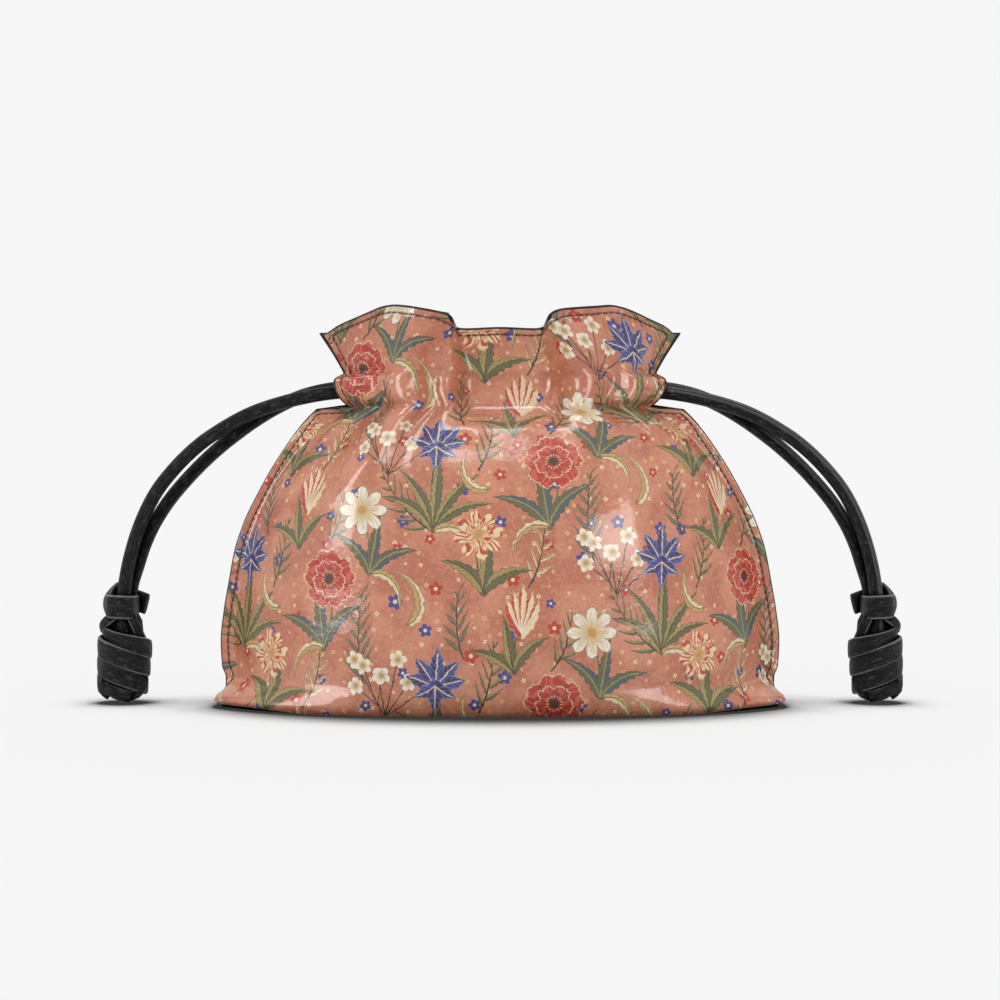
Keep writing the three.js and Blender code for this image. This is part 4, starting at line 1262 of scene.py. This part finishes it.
def liningCloth():
    material, tree, inputs = newMaterial("blackLining", {
        "Roughness": liningTone["roughness"], "Sheen Weight": liningTone["sheen"]})
    place = millimetres(tree)
    x, y, z = split(place)
    weave = calc("SINE", x * liningTone["threads"]) * calc("SINE", z * liningTone["threads"])
    soft = noise(place, 0.12, 3.0, 0.55)
    plug(tint(rise(soft, 0.3, 0.7), srgb(liningTone["dark"]), srgb(liningTone["pale"])), inputs["Base Color"])
    plug(bumped(tree, weave * 0.06 + soft * 1.5, mm, 0.4), inputs["Normal"])
    return material


def edgePaint():
    material, tree, inputs = newMaterial("edgePaint", {"Roughness": paintTone["roughness"]})
    soft = noise(millimetres(tree), 0.9, 3.0, 0.6)
    plug(tint(rise(soft, 0.3, 0.7), srgb(paintTone["dark"]), srgb(paintTone["pale"])), inputs["Base Color"])
    plug(bumped(tree, soft, 0.3 * mm, 0.6), inputs["Normal"])
    return material


def threadFinish():
    material, tree, inputs = newMaterial("stitchThread", {"Roughness": threadTone["roughness"]})
    x, y, z = split(millimetres(tree))
    twist = calc("SINE", (x + y + z) * threadTone["twist"])
    plug(tint(rise(twist, -0.6, 0.8), srgb(threadTone["dark"]), srgb(threadTone["tone"])), inputs["Base Color"])
    plug(bumped(tree, twist, 0.1 * mm, 0.6), inputs["Normal"])
    return material


def give(piece, *materials):
    piece.data.materials.clear()
    for material in materials:
        piece.data.materials.append(material)


# ---- dressing

printed = printedLeather()
blackCord, blackPlain = blackLeather("blackCordLeather"), blackLeather("blackPlainLeather", False)
lining, painted, thread = liningCloth(), edgePaint(), threadFinish()
print("finishes ready")

stitchNodes = stitchTree(thread)
for name, side in (("front", -1), ("back", 1)):
    piece, outer, normals, flat, area = leatherPanel(f"{name}_leather", side)
    give(piece, printed, lining, painted)
    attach(piece, "root")
    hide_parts(f"{name}_panel")
    seam = stitchRow(f"{name}_stitching", stitchNodes, *stitchPath(outer, normals, flat))
    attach(seam, "root")
    width, length = (float(flat[..., i].max() - flat[..., i].min()) for i in (0, 1))
    print(name, "flat", round(width, 3), "by", round(length, 3), "area", round(area, 4))

sack = liningSack("black_lining")
give(sack, lining)
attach(sack, "root")
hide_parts("lining")
print("lining made")

# The base panel is dressed in plain black, not the printed leather of its slot; where the corners lift, its black
# edge shows under them as painted shade. The loops are black leather.
for name, slot in (("base_panel", "printed_leather"), ("left_loop", "black_cord"), ("right_loop", "black_cord")):
    give(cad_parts[name], blackPlain)

for side, sign in (("left", 1), ("right", -1)):
    coil = knotPiece(f"{side}_knot", [coilStrap(), innerTurns()] + shortStraps(coilStraps), sign)
    band = knotPiece(f"{side}_band", [wrappedBand()] + shortStraps(bandStraps), sign)
    for piece, node in ((coil, "knot_coil"), (band, "knot_band")):
        give(piece, blackCord)
        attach(piece, "root")
        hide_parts(f"{side}_{node}")
    for strand in (one for one in strands if one["side"] == side):
        cord, path = strand["piece"], strand["path"]
        give(cord, blackCord)
        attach(cord, "root")
print("cords and knots dressed")

# ---- stage

stageLook = {
    "white": 0.93, "floor": 0.25, "glow": 0.66, "sun": 0.45, "sunSpread": 50, "sunTurn": (12, -6, 0),
    "floorDepth": -0.0005, "shadowReach": 0.05, "shadowSamples": 16,
    "shadow": (0.57, 0.92, 0.06, 1.0),  # openness where it is darkest and where it ends, and the tones there
}
softboxes = [
    # name, place, size across and up, aim, strength
    ("leftBox", (-0.92, -0.62, 0.50), (0.55, 0.66), (0, 0, 0.08), 9.6),
    ("rightBox", (0.58, -0.86, 0.36), (0.55, 0.44), (0, 0, 0.07), 5.3),
    ("topBox", (-0.14, -0.35, 1.05), (0.5, 0.42), (0, 0, 0.1), 5.0),
]


def addFloor():
    corners = [(x, y, stageLook["floorDepth"]) for x, y in ((-40, -40), (40, -40), (40, 60), (-40, 60))]
    floor = meshPiece("floor", corners, [(0, 1, 2, 3)])
    material, tree, inputs = newMaterial("paleFloor", {
        "Emission Strength": stageLook["glow"], "Roughness": 1.0, "Specular IOR Level": 0.0})
    # painted contact shadow: the floor's colour and its glow go dark where the bag and the knots close it in
    unshaded = rise(openness(tree, stageLook["shadowReach"], stageLook["shadowSamples"]), *stageLook["shadow"])
    black = (0, 0, 0, 1)
    plug(tint(unshaded, black, (stageLook["floor"],) * 3 + (1,)), inputs["Base Color"])
    plug(tint(unshaded, black, (1, 1, 1, 1)), inputs["Emission Color"])
    give(floor, material)


def addLamp(name, kind, strength):
    data = bpy.data.lights.new(name, kind)
    data.energy = strength
    return data, addObject(name, data)


def addStage():
    scene = bpy.context.scene
    scene.world = bpy.data.worlds.new("studio")
    scene.world.use_nodes = True
    back = scene.world.node_tree.nodes["Background"]
    back.inputs["Color"].default_value = (1, 1, 1, 1)
    back.inputs["Strength"].default_value = stageLook["white"]
    addFloor()
    data, lamp = addLamp("overhead", "SUN", stageLook["sun"])
    data.angle = math.radians(stageLook["sunSpread"])
    lamp.rotation_euler = [math.radians(turn) for turn in stageLook["sunTurn"]]
    for name, place, size, aim, strength in softboxes:
        data, lamp = addLamp(name, "AREA", strength)
        data.shape = "RECTANGLE"
        data.size, data.size_y = size
        lamp.location = place
        lamp.rotation_euler = (Vector(aim) - Vector(place)).to_track_quat("-Z", "Y").to_euler()
        lamp.visible_camera = False
        lamp.visible_diffuse = False
    scene.view_settings.view_transform = "Standard"
    scene.view_settings.look = "None"


addStage()
print("stage set")
